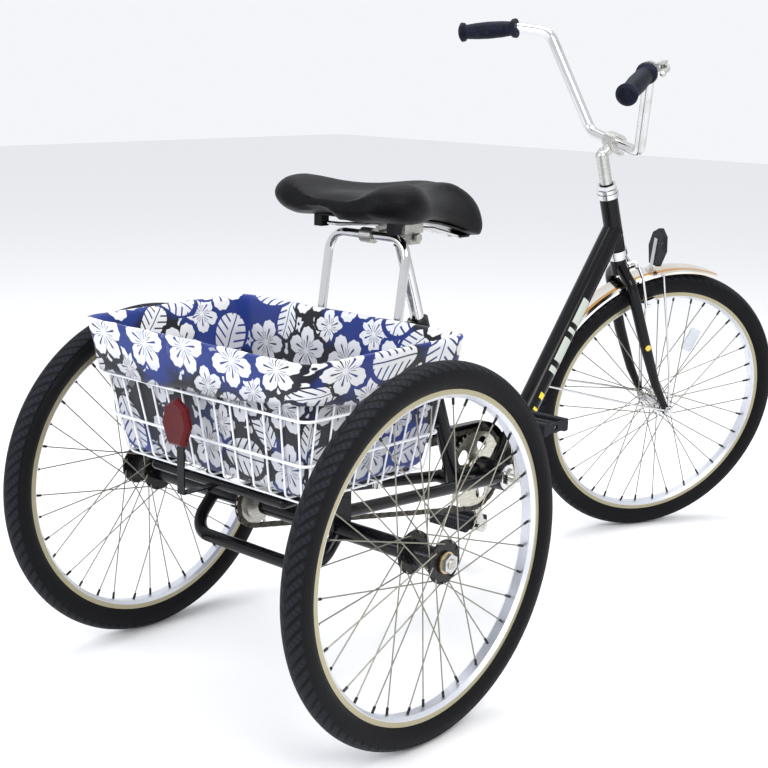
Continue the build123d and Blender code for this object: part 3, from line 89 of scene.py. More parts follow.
class Finish:
    def __init__(self, name, settings):
        self.material = bpy.data.materials.new(name)
        self.material.use_nodes = True
        self.tree = self.material.node_tree
        self.shader = self.tree.nodes["Principled BSDF"]
        for socket, value in settings.items():
            self.shader.inputs[socket].default_value = value
        self.place = self.put("ShaderNodeTexCoord", output="Object")

    def put(self, kind, settings=None, sockets=None, output=0):
        node = self.tree.nodes.new(kind)
        for key, value in (settings or {}).items():
            if key == "stops":
                band = node.color_ramp
                for index, (at, colour) in enumerate(value):
                    stop = band.elements[index] if index < 2 else band.elements.new(at)
                    stop.position, stop.color = at, colour
            else:
                setattr(node, key, value)
        for key, value in (sockets or {}).items():
            if isinstance(value, Wire):
                self.tree.links.new(value.socket, node.inputs[key])
            else:
                node.inputs[key].default_value = value
        return Wire(self.tree, node.outputs[output])

    def axes(self, vector=None):
        split = self.put("ShaderNodeSeparateXYZ", sockets={0: vector or self.place})
        outs = split.socket.node.outputs
        return [Wire(self.tree, outs[index]) for index in range(3)]

    def grain(self, scale, detail=3.0, rough=0.5, vector=None, stretch=None):
        vector = vector or self.place
        if stretch:
            vector = self.put("ShaderNodeMapping", {}, {"Vector": vector, "Scale": stretch})
        return self.put("ShaderNodeTexNoise", {}, {"Vector": vector, "Scale": scale,
                                                   "Detail": detail, "Roughness": rough})

    def cells(self, scale, feature="F1", vector=None):
        return self.put("ShaderNodeTexVoronoi", {"feature": feature},
                        {"Vector": vector or self.place, "Scale": scale})

    def blend(self, factor, first, second):
        return self.put("ShaderNodeMix", {"data_type": "RGBA"},
                        {0: factor, 6: first, 7: second}, output=2)

    def feed(self, **wires):
        for key, wire in wires.items():
            self.tree.links.new(wire.socket, self.shader.inputs[key.replace("_", " ")])
        return self

    def relief(self, height, depth, strength=1.0):
        bump = self.put("ShaderNodeBump", {}, {"Strength": strength, "Distance": depth,
                                               "Height": height})
        return self.feed(Normal=bump)

    def around(self, centre, spin):  # distance from a wheel's axis, and along it
        away = self.put("ShaderNodeVectorMath", {"operation": "SUBTRACT"},
                        {0: self.place, 1: centre})
        along = self.put("ShaderNodeVectorMath", {"operation": "DOT_PRODUCT"},
                         {0: away, 1: spin}, output="Value")
        whole = self.put("ShaderNodeVectorMath", {"operation": "LENGTH"}, {0: away},
                         output="Value")
        reach = (whole * whole - along * along).most(0.0) ** 0.5
        return reach, along


wheels = {
    "left": {"centre": (-0.55866, 0.333, 0.3), "spin": (0, 1, 0), "ahead": (1, 0, 0), "body": "drive_axle",
             "holes": 0.031, "flanges": 0.06},
    "right": {"centre": (-0.55866, -0.333, 0.3), "spin": (0, 1, 0), "ahead": (1, 0, 0), "body": "right_wheel",
              "holes": 0.031, "flanges": 0.06},
    "front": {"centre": (0.5861, -0.01732, 0.29652), "spin": (0.433902, 0.887011, 0.157927),
              "ahead": (0.900228, -0.433902, -0.036314), "body": "front_wheel",
              "holes": 0.0195, "flanges": 0.064},
}


def wheelPlace(wheel):  # from a wheel lying round the Y axis at the origin to its own place
    spin, ahead = Vector(wheel["spin"]).normalized(), Vector(wheel["ahead"]).normalized()
    up = ahead.cross(spin)
    turn = Matrix((ahead, spin, up)).transposed().to_4x4()
    return Matrix.Translation(wheel["centre"]) @ turn


# ---- finishes ----
def blackPaint(name, wear=0.25):
    f = Finish(name, {"Base Color": (0.003, 0.003, 0.004, 1), "Coat Weight": 0.22,
                      "Coat Roughness": 0.04, "Specular IOR Level": 0.1})
    dust = f.grain(38, 4, 0.6)
    scuff = f.grain(210, 2, 0.5).ramp(0.66, 0.74) * wear
    f.feed(Base_Color=f.blend(scuff, (0.003, 0.003, 0.004, 1), (0.03, 0.03, 0.034, 1)),
           Roughness=0.14 + dust * 0.16)
    return f.relief(f.grain(420, 2, 0.5), 0.0002, 0.25).material


def brightChrome(name, tint=(0.66, 0.66, 0.67, 1), warm=(0.38, 0.34, 0.27, 1), amount=0.7):
    f = Finish(name, {"Metallic": 1.0})
    cloud = f.grain(9, 3, 0.55)
    spots = f.grain(260, 2, 0.6).ramp(0.64, 0.8)
    shade = f.blend(cloud.ramp(0.5, 0.8) * amount, tint, warm)
    f.feed(Base_Color=f.blend(spots * 0.5, shade, (0.25, 0.2, 0.14, 1)),
           Roughness=0.05 + cloud * 0.07 + spots * 0.2)
    return f.relief(f.grain(60, 2, 0.5), 0.0002, 0.12).material


def fenderFinish(name):  # chrome with an amber stripe along its outer side
    f = Finish(name, {"Metallic": 1.0})
    reach, along = f.around(wheels["front"]["centre"], wheels["front"]["spin"])
    cloud = f.grain(9, 3, 0.55)
    stripe = along.ramp(-0.0235, -0.0215) * (1 - along.ramp(-0.0125, -0.0105))
    plate = f.blend(cloud.ramp(0.4, 0.8), (0.84, 0.83, 0.80, 1), (0.66, 0.60, 0.50, 1))
    f.feed(Base_Color=f.blend(stripe, plate, (0.66, 0.34, 0.10, 1)), Roughness=0.07 + cloud * 0.08)
    return f.relief(f.grain(60, 2, 0.5), 0.0002, 0.12).material


def satinMetal(name, shade, rough=0.3, scale=90.0, stretch=(1, 1, 8)):
    f = Finish(name, {"Metallic": 1.0})
    lines = f.grain(scale, 4, 0.7, stretch=stretch)
    dark = tuple(c * 0.6 for c in shade[:3]) + (1,)
    f.feed(Base_Color=f.blend(lines.ramp(0.35, 0.75), shade, dark), Roughness=rough + lines * 0.18)
    return f.relief(lines, 0.0003, 0.2).material


def wheelRimFinish(name, wheel):
    f = Finish(name, {})
    reach, along = f.around(wheel["centre"], wheel["spin"])
    side = abs(along).ramp(0.0125, 0.0138)
    brake = side * (reach.ramp(0.2500, 0.2515))
    scratch = f.grain(260, 3, 0.6)
    ring = ((reach * 2600.0).sine() * 0.5 + 0.5) * 0.2 + scratch * 0.8
    inner = f.blend(scratch, (0.78, 0.80, 0.86, 1), (0.60, 0.62, 0.68, 1))
    band = f.blend(ring, (0.44, 0.40, 0.27, 1), (0.30, 0.27, 0.17, 1))
    f.feed(Base_Color=f.blend(brake, inner, band), Roughness=0.22 + ring * 0.22,
           Metallic=0.85 - brake * 0.25)
    return f.relief(ring, 0.0003, 0.25).material


def tyreFinish(name, wheel, blocks=92):
    f = Finish(name, {"Specular IOR Level": 0.1})
    reach, along = f.around(wheel["centre"], wheel["spin"])
    lap = f.axes(f.put("ShaderNodeTexCoord", output="UV"))[0]
    side = abs(along)
    sway = (lap * blocks + side * 62.0).part()
    tooth = (abs(sway - 0.5) * 2.0).ramp(0.22, 0.40)
    slit = (abs((lap * (blocks * 2) - side * 90.0).part() - 0.5) * 2.0).ramp(0.08, 0.2)
    treadArea = (reach.ramp(0.2835, 0.2855)) * (1 - side.ramp(0.0195, 0.0212))
    centre = (1 - side.ramp(0.0014, 0.0022))
    blocksUp = (tooth * (1 - centre * 0.5)).least(0.35 + slit * 0.65)
    ribs = ((reach * 2100.0).sine() * 0.5 + 0.5) * (1 - treadArea) * 0.12
    height = treadArea * (0.35 + blocksUp * 0.65) + ribs
    grit = f.grain(520, 3, 0.6)
    # the raised tread blocks get a lighter blue-grey colour: a painted highlight on the block tops
    paintedBlockHighlight = f.blend((treadArea * blocksUp) * 0.8, (0.002, 0.002, 0.0025, 1), (0.012, 0.014, 0.019, 1))
    f.feed(Base_Color=f.blend(grit * 0.12, paintedBlockHighlight, (0.04, 0.042, 0.05, 1)),
           Roughness=0.42 + grit * 0.2 + treadArea * 0.05)
    return f.relief(height + grit * 0.03, 0.0034, 1.0).material


def hubFinish(name, shade):
    f = Finish(name, {"Base Color": shade, "Coat Weight": 0.2, "Coat Roughness": 0.08,
                      "Specular IOR Level": 0.12})
    specks = f.grain(300, 2, 0.5)
    f.feed(Base_Color=f.blend(specks.ramp(0.62, 0.7) * 0.4, shade, (0.12, 0.11, 0.1, 1)),
           Roughness=0.2 + specks * 0.15)
    return f.relief(specks, 0.0002, 0.2).material


def axleEndFinish(name):
    f = Finish(name, {"Metallic": 1.0})
    side = abs(f.axes()[1])
    cap = side.ramp(0.3695, 0.3699)
    marks = f.grain(300, 3, 0.6)
    gold = f.blend(marks, (0.55, 0.38, 0.14, 1), (0.36, 0.22, 0.07, 1))
    zinc = f.blend(marks, (0.62, 0.63, 0.63, 1), (0.42, 0.42, 0.4, 1))
    f.feed(Base_Color=f.blend(cap, gold, zinc), Roughness=0.22 + marks * 0.25)
    return f.relief(marks, 0.0003, 0.3).material


def whiteWireFinish(name):
    f = Finish(name, {"Coat Weight": 0.4, "Coat Roughness": 0.12})
    patch = f.grain(30, 3, 0.6)
    drip = f.grain(240, 2, 0.5)
    f.feed(Base_Color=f.blend(patch.ramp(0.4, 0.75), (0.80, 0.82, 0.86, 1), (0.66, 0.68, 0.70, 1)),
           Roughness=0.24 + drip * 0.2)
    return f.relief(drip, 0.0004, 0.3).material


# ---- printed cloth: open blossoms, slit leaves and small sprigs on a dark ground ----
printSizes = {"bloom": 0.100, "leaf": 0.100, "sprig": 0.044}


def motifCell(f, across, down, size, shift, seed, stray):
    u, v = across / size + shift[0], down / size + shift[1]
    column, row = u.floor(), v.floor()
    key = f.put("ShaderNodeCombineXYZ", {}, {0: column, 1: row, 2: seed})
    dice = f.put("ShaderNodeTexWhiteNoise", {"noise_dimensions": "3D"}, {"Vector": key}, "Color")
    one, two, three = f.axes(dice)
    x = u - column - 0.5 + (one - 0.5) * stray
    y = v - row - 0.5 + (two - 0.5) * stray
    turn = three * 6.2832
    c, s = turn.cosine(), turn.sine()
    return (x * c - y * s) * 2.0, (x * s + y * c) * 2.0, one, two


def bloomMask(f, x, y):  # five broad petals with dark streaks from the eye
    reach = (x * x + y * y) ** 0.5
    angle = x.combine("ARCTAN2", y, x)
    lobe = abs((angle * 2.5).cosine())
    edge = 0.44 + (lobe ** 0.6) * 0.42 + ((angle * 23.0).sine() * 0.018)
    petal = 1 - (reach - edge).ramp(-0.012, 0.012)
    gap = (1 - lobe.ramp(0.03, 0.075)) * reach.ramp(0.16, 0.22)
    streak = lobe.ramp(0.972, 0.99) * (1 - reach.ramp(0.50, 0.60)) * reach.ramp(0.10, 0.14)
    fine = abs((angle * 7.5).cosine()).ramp(0.93, 0.98) * (1 - reach.ramp(0.36, 0.44))
    fine = fine * reach.ramp(0.10, 0.13)
    return petal * (1 - gap) * (1 - streak.most(fine)), 1 - (reach - edge).ramp(0.16, 0.19)


def leafMask(f, x, y):  # split leaf with a midrib
    wide = 0.62 - y * 0.14
    body = (x / wide) ** 2.0 + (y / 0.93) ** 2.0
    inside = 1 - body.ramp(0.93, 1.0)
    cut = ((y * 3.3 + abs(x) * 2.0).part() - 0.5)
    slit = (1 - abs(cut).ramp(0.10, 0.16)) * abs(x).ramp(0.13, 0.19)
    rib = 1 - abs(x).ramp(0.016, 0.034)
    return inside * (1 - slit) * (1 - rib), 1 - body.ramp(1.35, 1.45)


def sprigMask(f, x, y):
    reach = (x * x + y * y) ** 0.5
    angle = x.combine("ARCTAN2", y, x)
    lobe = abs((angle * 2.5).cosine())
    edge = 0.34 + lobe * 0.36
    return (1 - (reach - edge).ramp(-0.04, 0.04)) * reach.ramp(0.10, 0.17)


def printedCloth(name):
    f = Finish(name, {"Sheen Weight": 0.25, "Sheen Roughness": 0.5, "Specular IOR Level": 0.25})
    uv = f.put("ShaderNodeTexCoord", output="UV")
    across, down, _ = f.axes(uv)
    warp = f.grain(9, 2, 0.5, vector=uv)
    across, down = across + (warp - 0.5) * 0.012, down + (warp - 0.5) * 0.009
    x, y, pick, _ = motifCell(f, across, down, printSizes["bloom"], (0.1, 0.35), 1.0, 0.10)
    bloom, bloomRoom = bloomMask(f, x, y)
    leaf, leafRoom = leafMask(f, x, y)
    chooseLeaf = pick.ramp(0.62, 0.63)
    first = bloom * (1 - chooseLeaf) + leaf * chooseLeaf
    firstRoom = bloomRoom * (1 - chooseLeaf) + leafRoom * chooseLeaf
    x, y, pick, some = motifCell(f, across, down, printSizes["leaf"], (0.6, 0.85), 5.0, 0.10)
    secondLeaf, secondRoomLeaf = leafMask(f, x * 1.45, y * 1.2)
    secondBloom, secondRoomBloom = bloomMask(f, x * 1.35, y * 1.35)
    chooseBloom = pick.ramp(0.5, 0.51)
    second = (secondLeaf * (1 - chooseBloom) + secondBloom * chooseBloom) * some.ramp(0.3, 0.32)
    secondRoom = secondRoomLeaf * (1 - chooseBloom) + secondRoomBloom * chooseBloom
    x, y, pick, other = motifCell(f, across, down, printSizes["sprig"], (0.3, 0.2), 9.0, 0.35)
    sprig = sprigMask(f, x, y) * other.ramp(0.5, 0.52)
    open1, open2 = 1 - firstRoom, 1 - secondRoom
    pale = first.most(second * open1).most(sprig * open1 * open2)
    ground = f.grain(7.0, 3, 0.55)
    height = f.axes()[2]
    # large blue and near-black patches on the ground: partly the print's own two tones, partly painted light and
    # shade on the cloth
    deep = ground.ramp(0.52, 0.60)
    royal = f.blend(deep, (0.006, 0.024, 0.17, 1), (0.003, 0.004, 0.010, 1))
    # below the collar hem the ground turns near black: painted shade on the lower walls inside the wire basket
    low = 1 - height.ramp(0.535, 0.575)
    base = f.blend(low * ground.ramp(0.42, 0.52), royal, (0.003, 0.004, 0.010, 1))
    thread = f.grain(900, 1, 0.5, vector=uv)
    cream = f.blend(thread * 0.5, (0.74, 0.75, 0.78, 1), (0.56, 0.57, 0.60, 1))
    # the cream print is darkened towards the bottom: painted shade on the lower walls
    cream = f.blend(low * 0.55, cream, (0.30, 0.30, 0.34, 1))
    weaveU = (across * 5200.0).sine() * (down * 5200.0).sine()
    f.feed(Base_Color=f.blend(pale, base, cream), Roughness=0.78 + thread * 0.15)
    return f.relief(weaveU * 0.5 + thread, 0.0004, 0.35).material


def saddleVinyl(name):
    f = Finish(name, {"Specular IOR Level": 0.09})
    pebble = f.cells(520, "SMOOTH_F1")
    fine = f.grain(900, 2, 0.5)
    broad = f.grain(14, 3, 0.5)
    f.feed(Base_Color=f.blend(pebble.ramp(0.25, 0.7), (0.0045, 0.0045, 0.0055, 1), (0.0015, 0.0015, 0.002, 1)),
           Roughness=0.34 + broad * 0.16 + pebble * 0.1)
    return f.relief(1 - pebble + fine * 0.2, 0.0009, 0.65).material


def gripRubber(name):
    f = Finish(name, {"Specular IOR Level": 0.12})
    dots = f.cells(380, "F1")
    dust = f.grain(60, 3, 0.6)
    f.feed(Base_Color=f.blend(dust.ramp(0.4, 0.8), (0.003, 0.004, 0.010, 1), (0.010, 0.014, 0.032, 1)),
           Roughness=0.42 + dust * 0.2)
    return f.relief(dots, 0.0008, 0.5).material


def pedalPlastic(name):
    f = Finish(name, {"Specular IOR Level": 0.15})
    x, y, z = f.axes()
    ridge = ((y * 1300.0).sine() * 0.5 + 0.5)
    dust = f.grain(90, 3, 0.6)
    f.feed(Base_Color=f.blend(dust, (0.004, 0.004, 0.005, 1), (0.016, 0.018, 0.026, 1)),
           Roughness=0.4 + dust * 0.25)
    return f.relief(ridge, 0.0012, 0.6).material


def prismLens(name, shade, dark, glow=0.0):
    f = Finish(name, {"Coat Weight": 0.1, "Coat Roughness": 0.04, "Specular IOR Level": 0.15})
    x, y, z = f.axes()
    rows = abs(((z + y * 0.5) * 520.0).part() - 0.5) + abs(((z - y * 0.5) * 520.0).part() - 0.5)
    slabs = f.grain(22, 1, 0.4)
    f.feed(Base_Color=f.blend((rows * 0.7 + slabs * 0.4), dark, shade), Roughness=0.12 + rows * 0.2)
    return f.relief(rows, 0.0009, 0.6).material


def chainFinish(name):
    f = Finish(name, {"Metallic": 0.8})
    oil = f.grain(160, 3, 0.6)
    f.feed(Base_Color=f.blend(oil, (0.016, 0.015, 0.014, 1), (0.085, 0.075, 0.06, 1)),
           Roughness=0.3 + oil * 0.3)
    return f.relief(oil, 0.0003, 0.3).material


tubeDecal = {
    "low": (0.03324, 0.0, 0.238), "high": (0.40709, 0.0, 0.69109),
    "strips": ((0.352, 0.412), (0.330, 0.341), (0.262, 0.318), (0.236, 0.250)),
    "dots": ((0.176, 0.190), (0.148, 0.156)),
}


def downTubeFinish(name):  # gloss black with plain silver strips and yellow marks on both sides
    f = Finish(name, {"Coat Weight": 0.22, "Coat Roughness": 0.04, "Specular IOR Level": 0.1})
    low, high = Vector(tubeDecal["low"]), Vector(tubeDecal["high"])
    way = (high - low).normalized()
    along = f.put("ShaderNodeVectorMath", {"operation": "DOT_PRODUCT"},
                  {0: f.put("ShaderNodeVectorMath", {"operation": "SUBTRACT"},
                            {0: f.place, 1: low}), 1: way}, output="Value")
    over = way.cross(Vector((0, 1, 0)))
    across = f.put("ShaderNodeVectorMath", {"operation": "DOT_PRODUCT"},
                   {0: f.put("ShaderNodeVectorMath", {"operation": "SUBTRACT"},
                             {0: f.place, 1: low}), 1: over}, output="Value")
    side = abs(f.axes()[1]).ramp(0.0145, 0.0152)
    silver = None
    for start, end in tubeDecal["strips"]:
        band = along.ramp(start, start + 0.001) * (1 - along.ramp(end - 0.001, end))
        band = band * across.ramp(-0.0095, -0.009) * (1 - across.ramp(0.0125, 0.013))
        silver = band if silver is None else silver.most(band)
    yellow = None
    for start, end in tubeDecal["dots"]:
        band = along.ramp(start, start + 0.001) * (1 - along.ramp(end - 0.001, end))
        band = band * (1 - abs(across).ramp(0.007, 0.0075))
        yellow = band if yellow is None else yellow.most(band)
    dust = f.grain(60, 4, 0.6)
    paint = f.blend(dust.ramp(0.6, 0.8) * 0.2, (0.003, 0.003, 0.004, 1), (0.03, 0.03, 0.034, 1))
    marked = f.blend(silver * side, paint, (0.46, 0.50, 0.45, 1))
    marked = f.blend(yellow * side, marked, (0.75, 0.6, 0.04, 1))
    f.feed(Base_Color=marked, Roughness=0.14 + dust * 0.14 + silver * side * 0.2)
    return f.relief(f.grain(420, 2, 0.5), 0.0002, 0.2).material


def dress(material, *names):
    for name in names:
        nodes[name].data.materials.clear()
        nodes[name].data.materials.append(material)


paint = blackPaint("glossBlack")
dress(paint, "head_tube", "bottom_bracket_shell", "seat_tube", "chain_stays", "axle_housing",
      "bumper_loop", "basket_support", "fork", "chain_guard", "seat_collar", "saddle_pan",
      "rear_reflector_bracket")
dress(downTubeFinish("downTubePaint"), "down_tube")
chrome = brightChrome("chromePlate")
dress(chrome, "bottom_bracket_cups", "headset_cups", "headset_nuts", "handlebar",
      "seat_post", "seat_strut", "saddle_rails", "front_axle", "brake_bolt", "front_hub",
      "brake_arm_left", "brake_arm_right", "front_reflector_bracket")
dress(fenderFinish("fenderPlate"), "front_fender")
dress(chrome, "fender_stays")
dress(brightChrome("crankPlate", (0.62, 0.61, 0.58, 1), (0.45, 0.42, 0.34, 1), 0.5), "crank")
dress(satinMetal("satinAlloy", (0.60, 0.60, 0.57, 1), 0.26), "stem", "brake_perch", "brake_lever")
dress(satinMetal("zincSteel", (0.50, 0.49, 0.45, 1), 0.3), "saddle_clamp", "axle_bearings",
      "rear_axle", "rear_sprocket")
dress(satinMetal("ringSteel", (0.62, 0.60, 0.52, 1), 0.2, 60), "chainring")
dress(chainFinish("oiledChain"), "chain")
dress(satinMetal("spokeWire", (0.30, 0.29, 0.24, 1), 0.3, 200), "left_spokes", "right_spokes",
      "front_spokes")
dress(hubFinish("blackHub", (0.008, 0.008, 0.009, 1)), "left_hub", "right_hub")
dress(axleEndFinish("washersAndNuts"), "axle_nuts")
dress(whiteWireFinish("coatedWire"), "wire_basket")
dress(gripRubber("gripRubber"), "left_grip", "right_grip")
dress(pedalPlastic("pedalPlastic"), "left_pedal", "right_pedal")
dress(hubFinish("lampBack", (0.008, 0.010, 0.014, 1)), "front_reflector")
dress(prismLens("clearLens", (0.72, 0.75, 0.80, 1), (0.45, 0.48, 0.53, 1)), "front_wheel_reflector")
for side, wheel in wheels.items():
    dress(wheelRimFinish(side + "RimPlate", wheel), side + "_rim")
print("finishes on the carried-over parts")


# ---- modelling helpers ----
def clearSelection():
    if bpy.context.object and bpy.context.object.mode != "OBJECT":
        bpy.ops.object.mode_set(mode="OBJECT")
    bpy.ops.object.select_all(action="DESELECT")


def settle(obj, name, body, material, place=None):
    obj.name = obj.data.name = name
    if place is not None:
        obj.data.transform(place)
    obj.data.materials.clear()
    obj.data.materials.append(material)
    obj.data.update()
    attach(obj, body)
    return obj


def scatter(name, mesh, places):  # one object from many copies of a small mesh
    bm = bmesh.new()
    for place in places:
        copy = mesh.copy()
        copy.transform(place)
        bm.from_mesh(copy)
        bpy.data.meshes.remove(copy)
    data = bpy.data.meshes.new(name)
    bm.to_mesh(data)
    bm.free()
    obj = bpy.data.objects.new(name, data)
    bpy.context.scene.collection.objects.link(obj)
    return obj


# ---- tyres and spoke nipples ----
tyreSizes = {"core": 0.277, "section": 0.02295, "around": 232, "across": 32}
nippleSizes = {"count": 36, "rim": 0.2462, "length": 0.013, "radius": 0.0024, "lacing": 60.0}


def makeTyre(side, wheel):
    clearSelection()
    bpy.ops.mesh.primitive_torus_add(major_radius=tyreSizes["core"], minor_radius=tyreSizes["section"],
                                     major_segments=tyreSizes["around"],
                                     minor_segments=tyreSizes["across"], generate_uvs=True,
                                     rotation=(math.radians(90), 0, 0))
    obj = bpy.context.object
    bpy.ops.object.transform_apply(location=True, rotation=True, scale=True)
    for vertex in obj.data.vertices:  # the tread is a little flatter than a circle
        reach = math.hypot(vertex.co.x, vertex.co.z)
        over = max(0.0, reach - tyreSizes["core"]) / tyreSizes["section"]
        if over > 0.3:
            vertex.co.y *= 1.0 + 0.05 * math.sin(math.pi * (over - 0.3) / 0.7)
    bpy.ops.object.shade_smooth()
    settle(obj, side + "TreadTyre", wheel["body"], tyreFinish(side + "Rubber", wheel),
           wheelPlace(wheel))
    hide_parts(side + "_tyre")


def makeNipples(side, wheel, material):
    clearSelection()
    bpy.ops.mesh.primitive_cylinder_add(vertices=8, radius=nippleSizes["radius"],
                                        depth=nippleSizes["length"])
    cap = bpy.context.object
    bpy.ops.object.mode_set(mode="EDIT")
    bpy.ops.mesh.select_all(action="SELECT")
    bpy.ops.mesh.bevel(offset=0.0006, segments=1)
    bpy.ops.object.mode_set(mode="OBJECT")
    places = []
    frameOf = wheelPlace(wheel)
    for index in range(nippleSizes["count"]):
        flange = 1 if index % 2 else -1
        pull = 1 if (index // 2) % 2 else -1
        rimTurn = math.radians(360 * index / nippleSizes["count"])
        hubTurn = rimTurn + pull * math.radians(nippleSizes["lacing"])
        hole = wheel["holes"]
        low = Vector((hole * math.cos(hubTurn), flange * wheel["flanges"] / 2, hole * math.sin(hubTurn)))
        high = Vector((nippleSizes["rim"] * math.cos(rimTurn), flange * 0.0025,
                       nippleSizes["rim"] * math.sin(rimTurn)))
        way = (high - low).normalized()
        spot = high - way * (nippleSizes["length"] / 2)
        places.append(frameOf @ Matrix.Translation(spot) @ way.to_track_quat("Z", "Y").to_matrix().to_4x4())
    caps = scatter(side + "SpokeNipples", cap.data, places)
    bpy.data.objects.remove(cap)
    settle(caps, side + "SpokeNipples", wheel["body"], material)


nippleBlack = hubFinish("nippleBlack", (0.012, 0.011, 0.010, 1))
for side, wheel in wheels.items():
    makeTyre(side, wheel)
    makeNipples(side, wheel, nippleBlack)
print("tyres and nipples done")


# ---- cloth liner ----
basketShape = {
    "floor": 0.386, "rim": 0.604, "back": (-0.70966, -0.75066), "front": (-0.41566, -0.38866),
    "half": (0.216, 0.266), "corner": (0.014, 0.032), "around": 288,
}
linerShape = {
    "wallInset": 0.0116, "floorZ": 0.3888, "over": 0.6086, "hemLow": 0.531, "hemRise": 0.016,
    "wallWave": 0.0022, "collarWave": 0.0030, "thick": 0.0012,
    # cut from one blank: floor, four leaning walls, the turn over the rim and the folded collar
    "blank": (1.011, 0.867), "cutArea": 0.599,
}


def basketRing(height, inset):  # evenly spread points round the basket at one height
    share = (height - basketShape["floor"]) / (basketShape["rim"] - basketShape["floor"])
    back, front, half, corner = (low + (high - low) * share for low, high in
                                 (basketShape[k] for k in ("back", "front", "half", "corner")))
    back, front, half, corner = back + inset, front - inset, half - inset, max(corner - inset, 0.004)
    sides = [2 * half - 2 * corner, front - back - 2 * corner]
    arc = corner * math.pi / 2
    lengths = [arc, sides[0], arc, sides[1], arc, sides[0], arc, sides[1]]
    nominal = [0.03, 0.455, 0.03, 0.27, 0.03, 0.455, 0.03, 0.27]
    total = sum(nominal)
    centres = [(front - corner, -half + corner), (front - corner, half - corner),
               (back + corner, half - corner), (back + corner, -half + corner)]
    points = []
    for index in range(basketShape["around"]):
        place = (index / basketShape["around"]) * total
        run = 0
        while place > nominal[run]:
            place -= nominal[run]
            run += 1
        portion = place / nominal[run]
        centre = centres[run // 2]
        if run % 2 == 0:
            turn = math.radians(-90 + 90 * (run // 2) + 90 * portion)
            points.append((centre[0] + corner * math.cos(turn), centre[1] + corner * math.sin(turn)))
        else:
            turn = math.radians(90 * (run // 2))
            startX = centre[0] + corner * math.cos(turn)
            startY = centre[1] + corner * math.sin(turn)
            step = lengths[run] * portion
            points.append((startX - step * math.sin(turn), startY + step * math.cos(turn)))
    return points


def ripple(x, y, z, scale):
    return noise.noise(Vector((x * scale, y * scale, z * scale)))


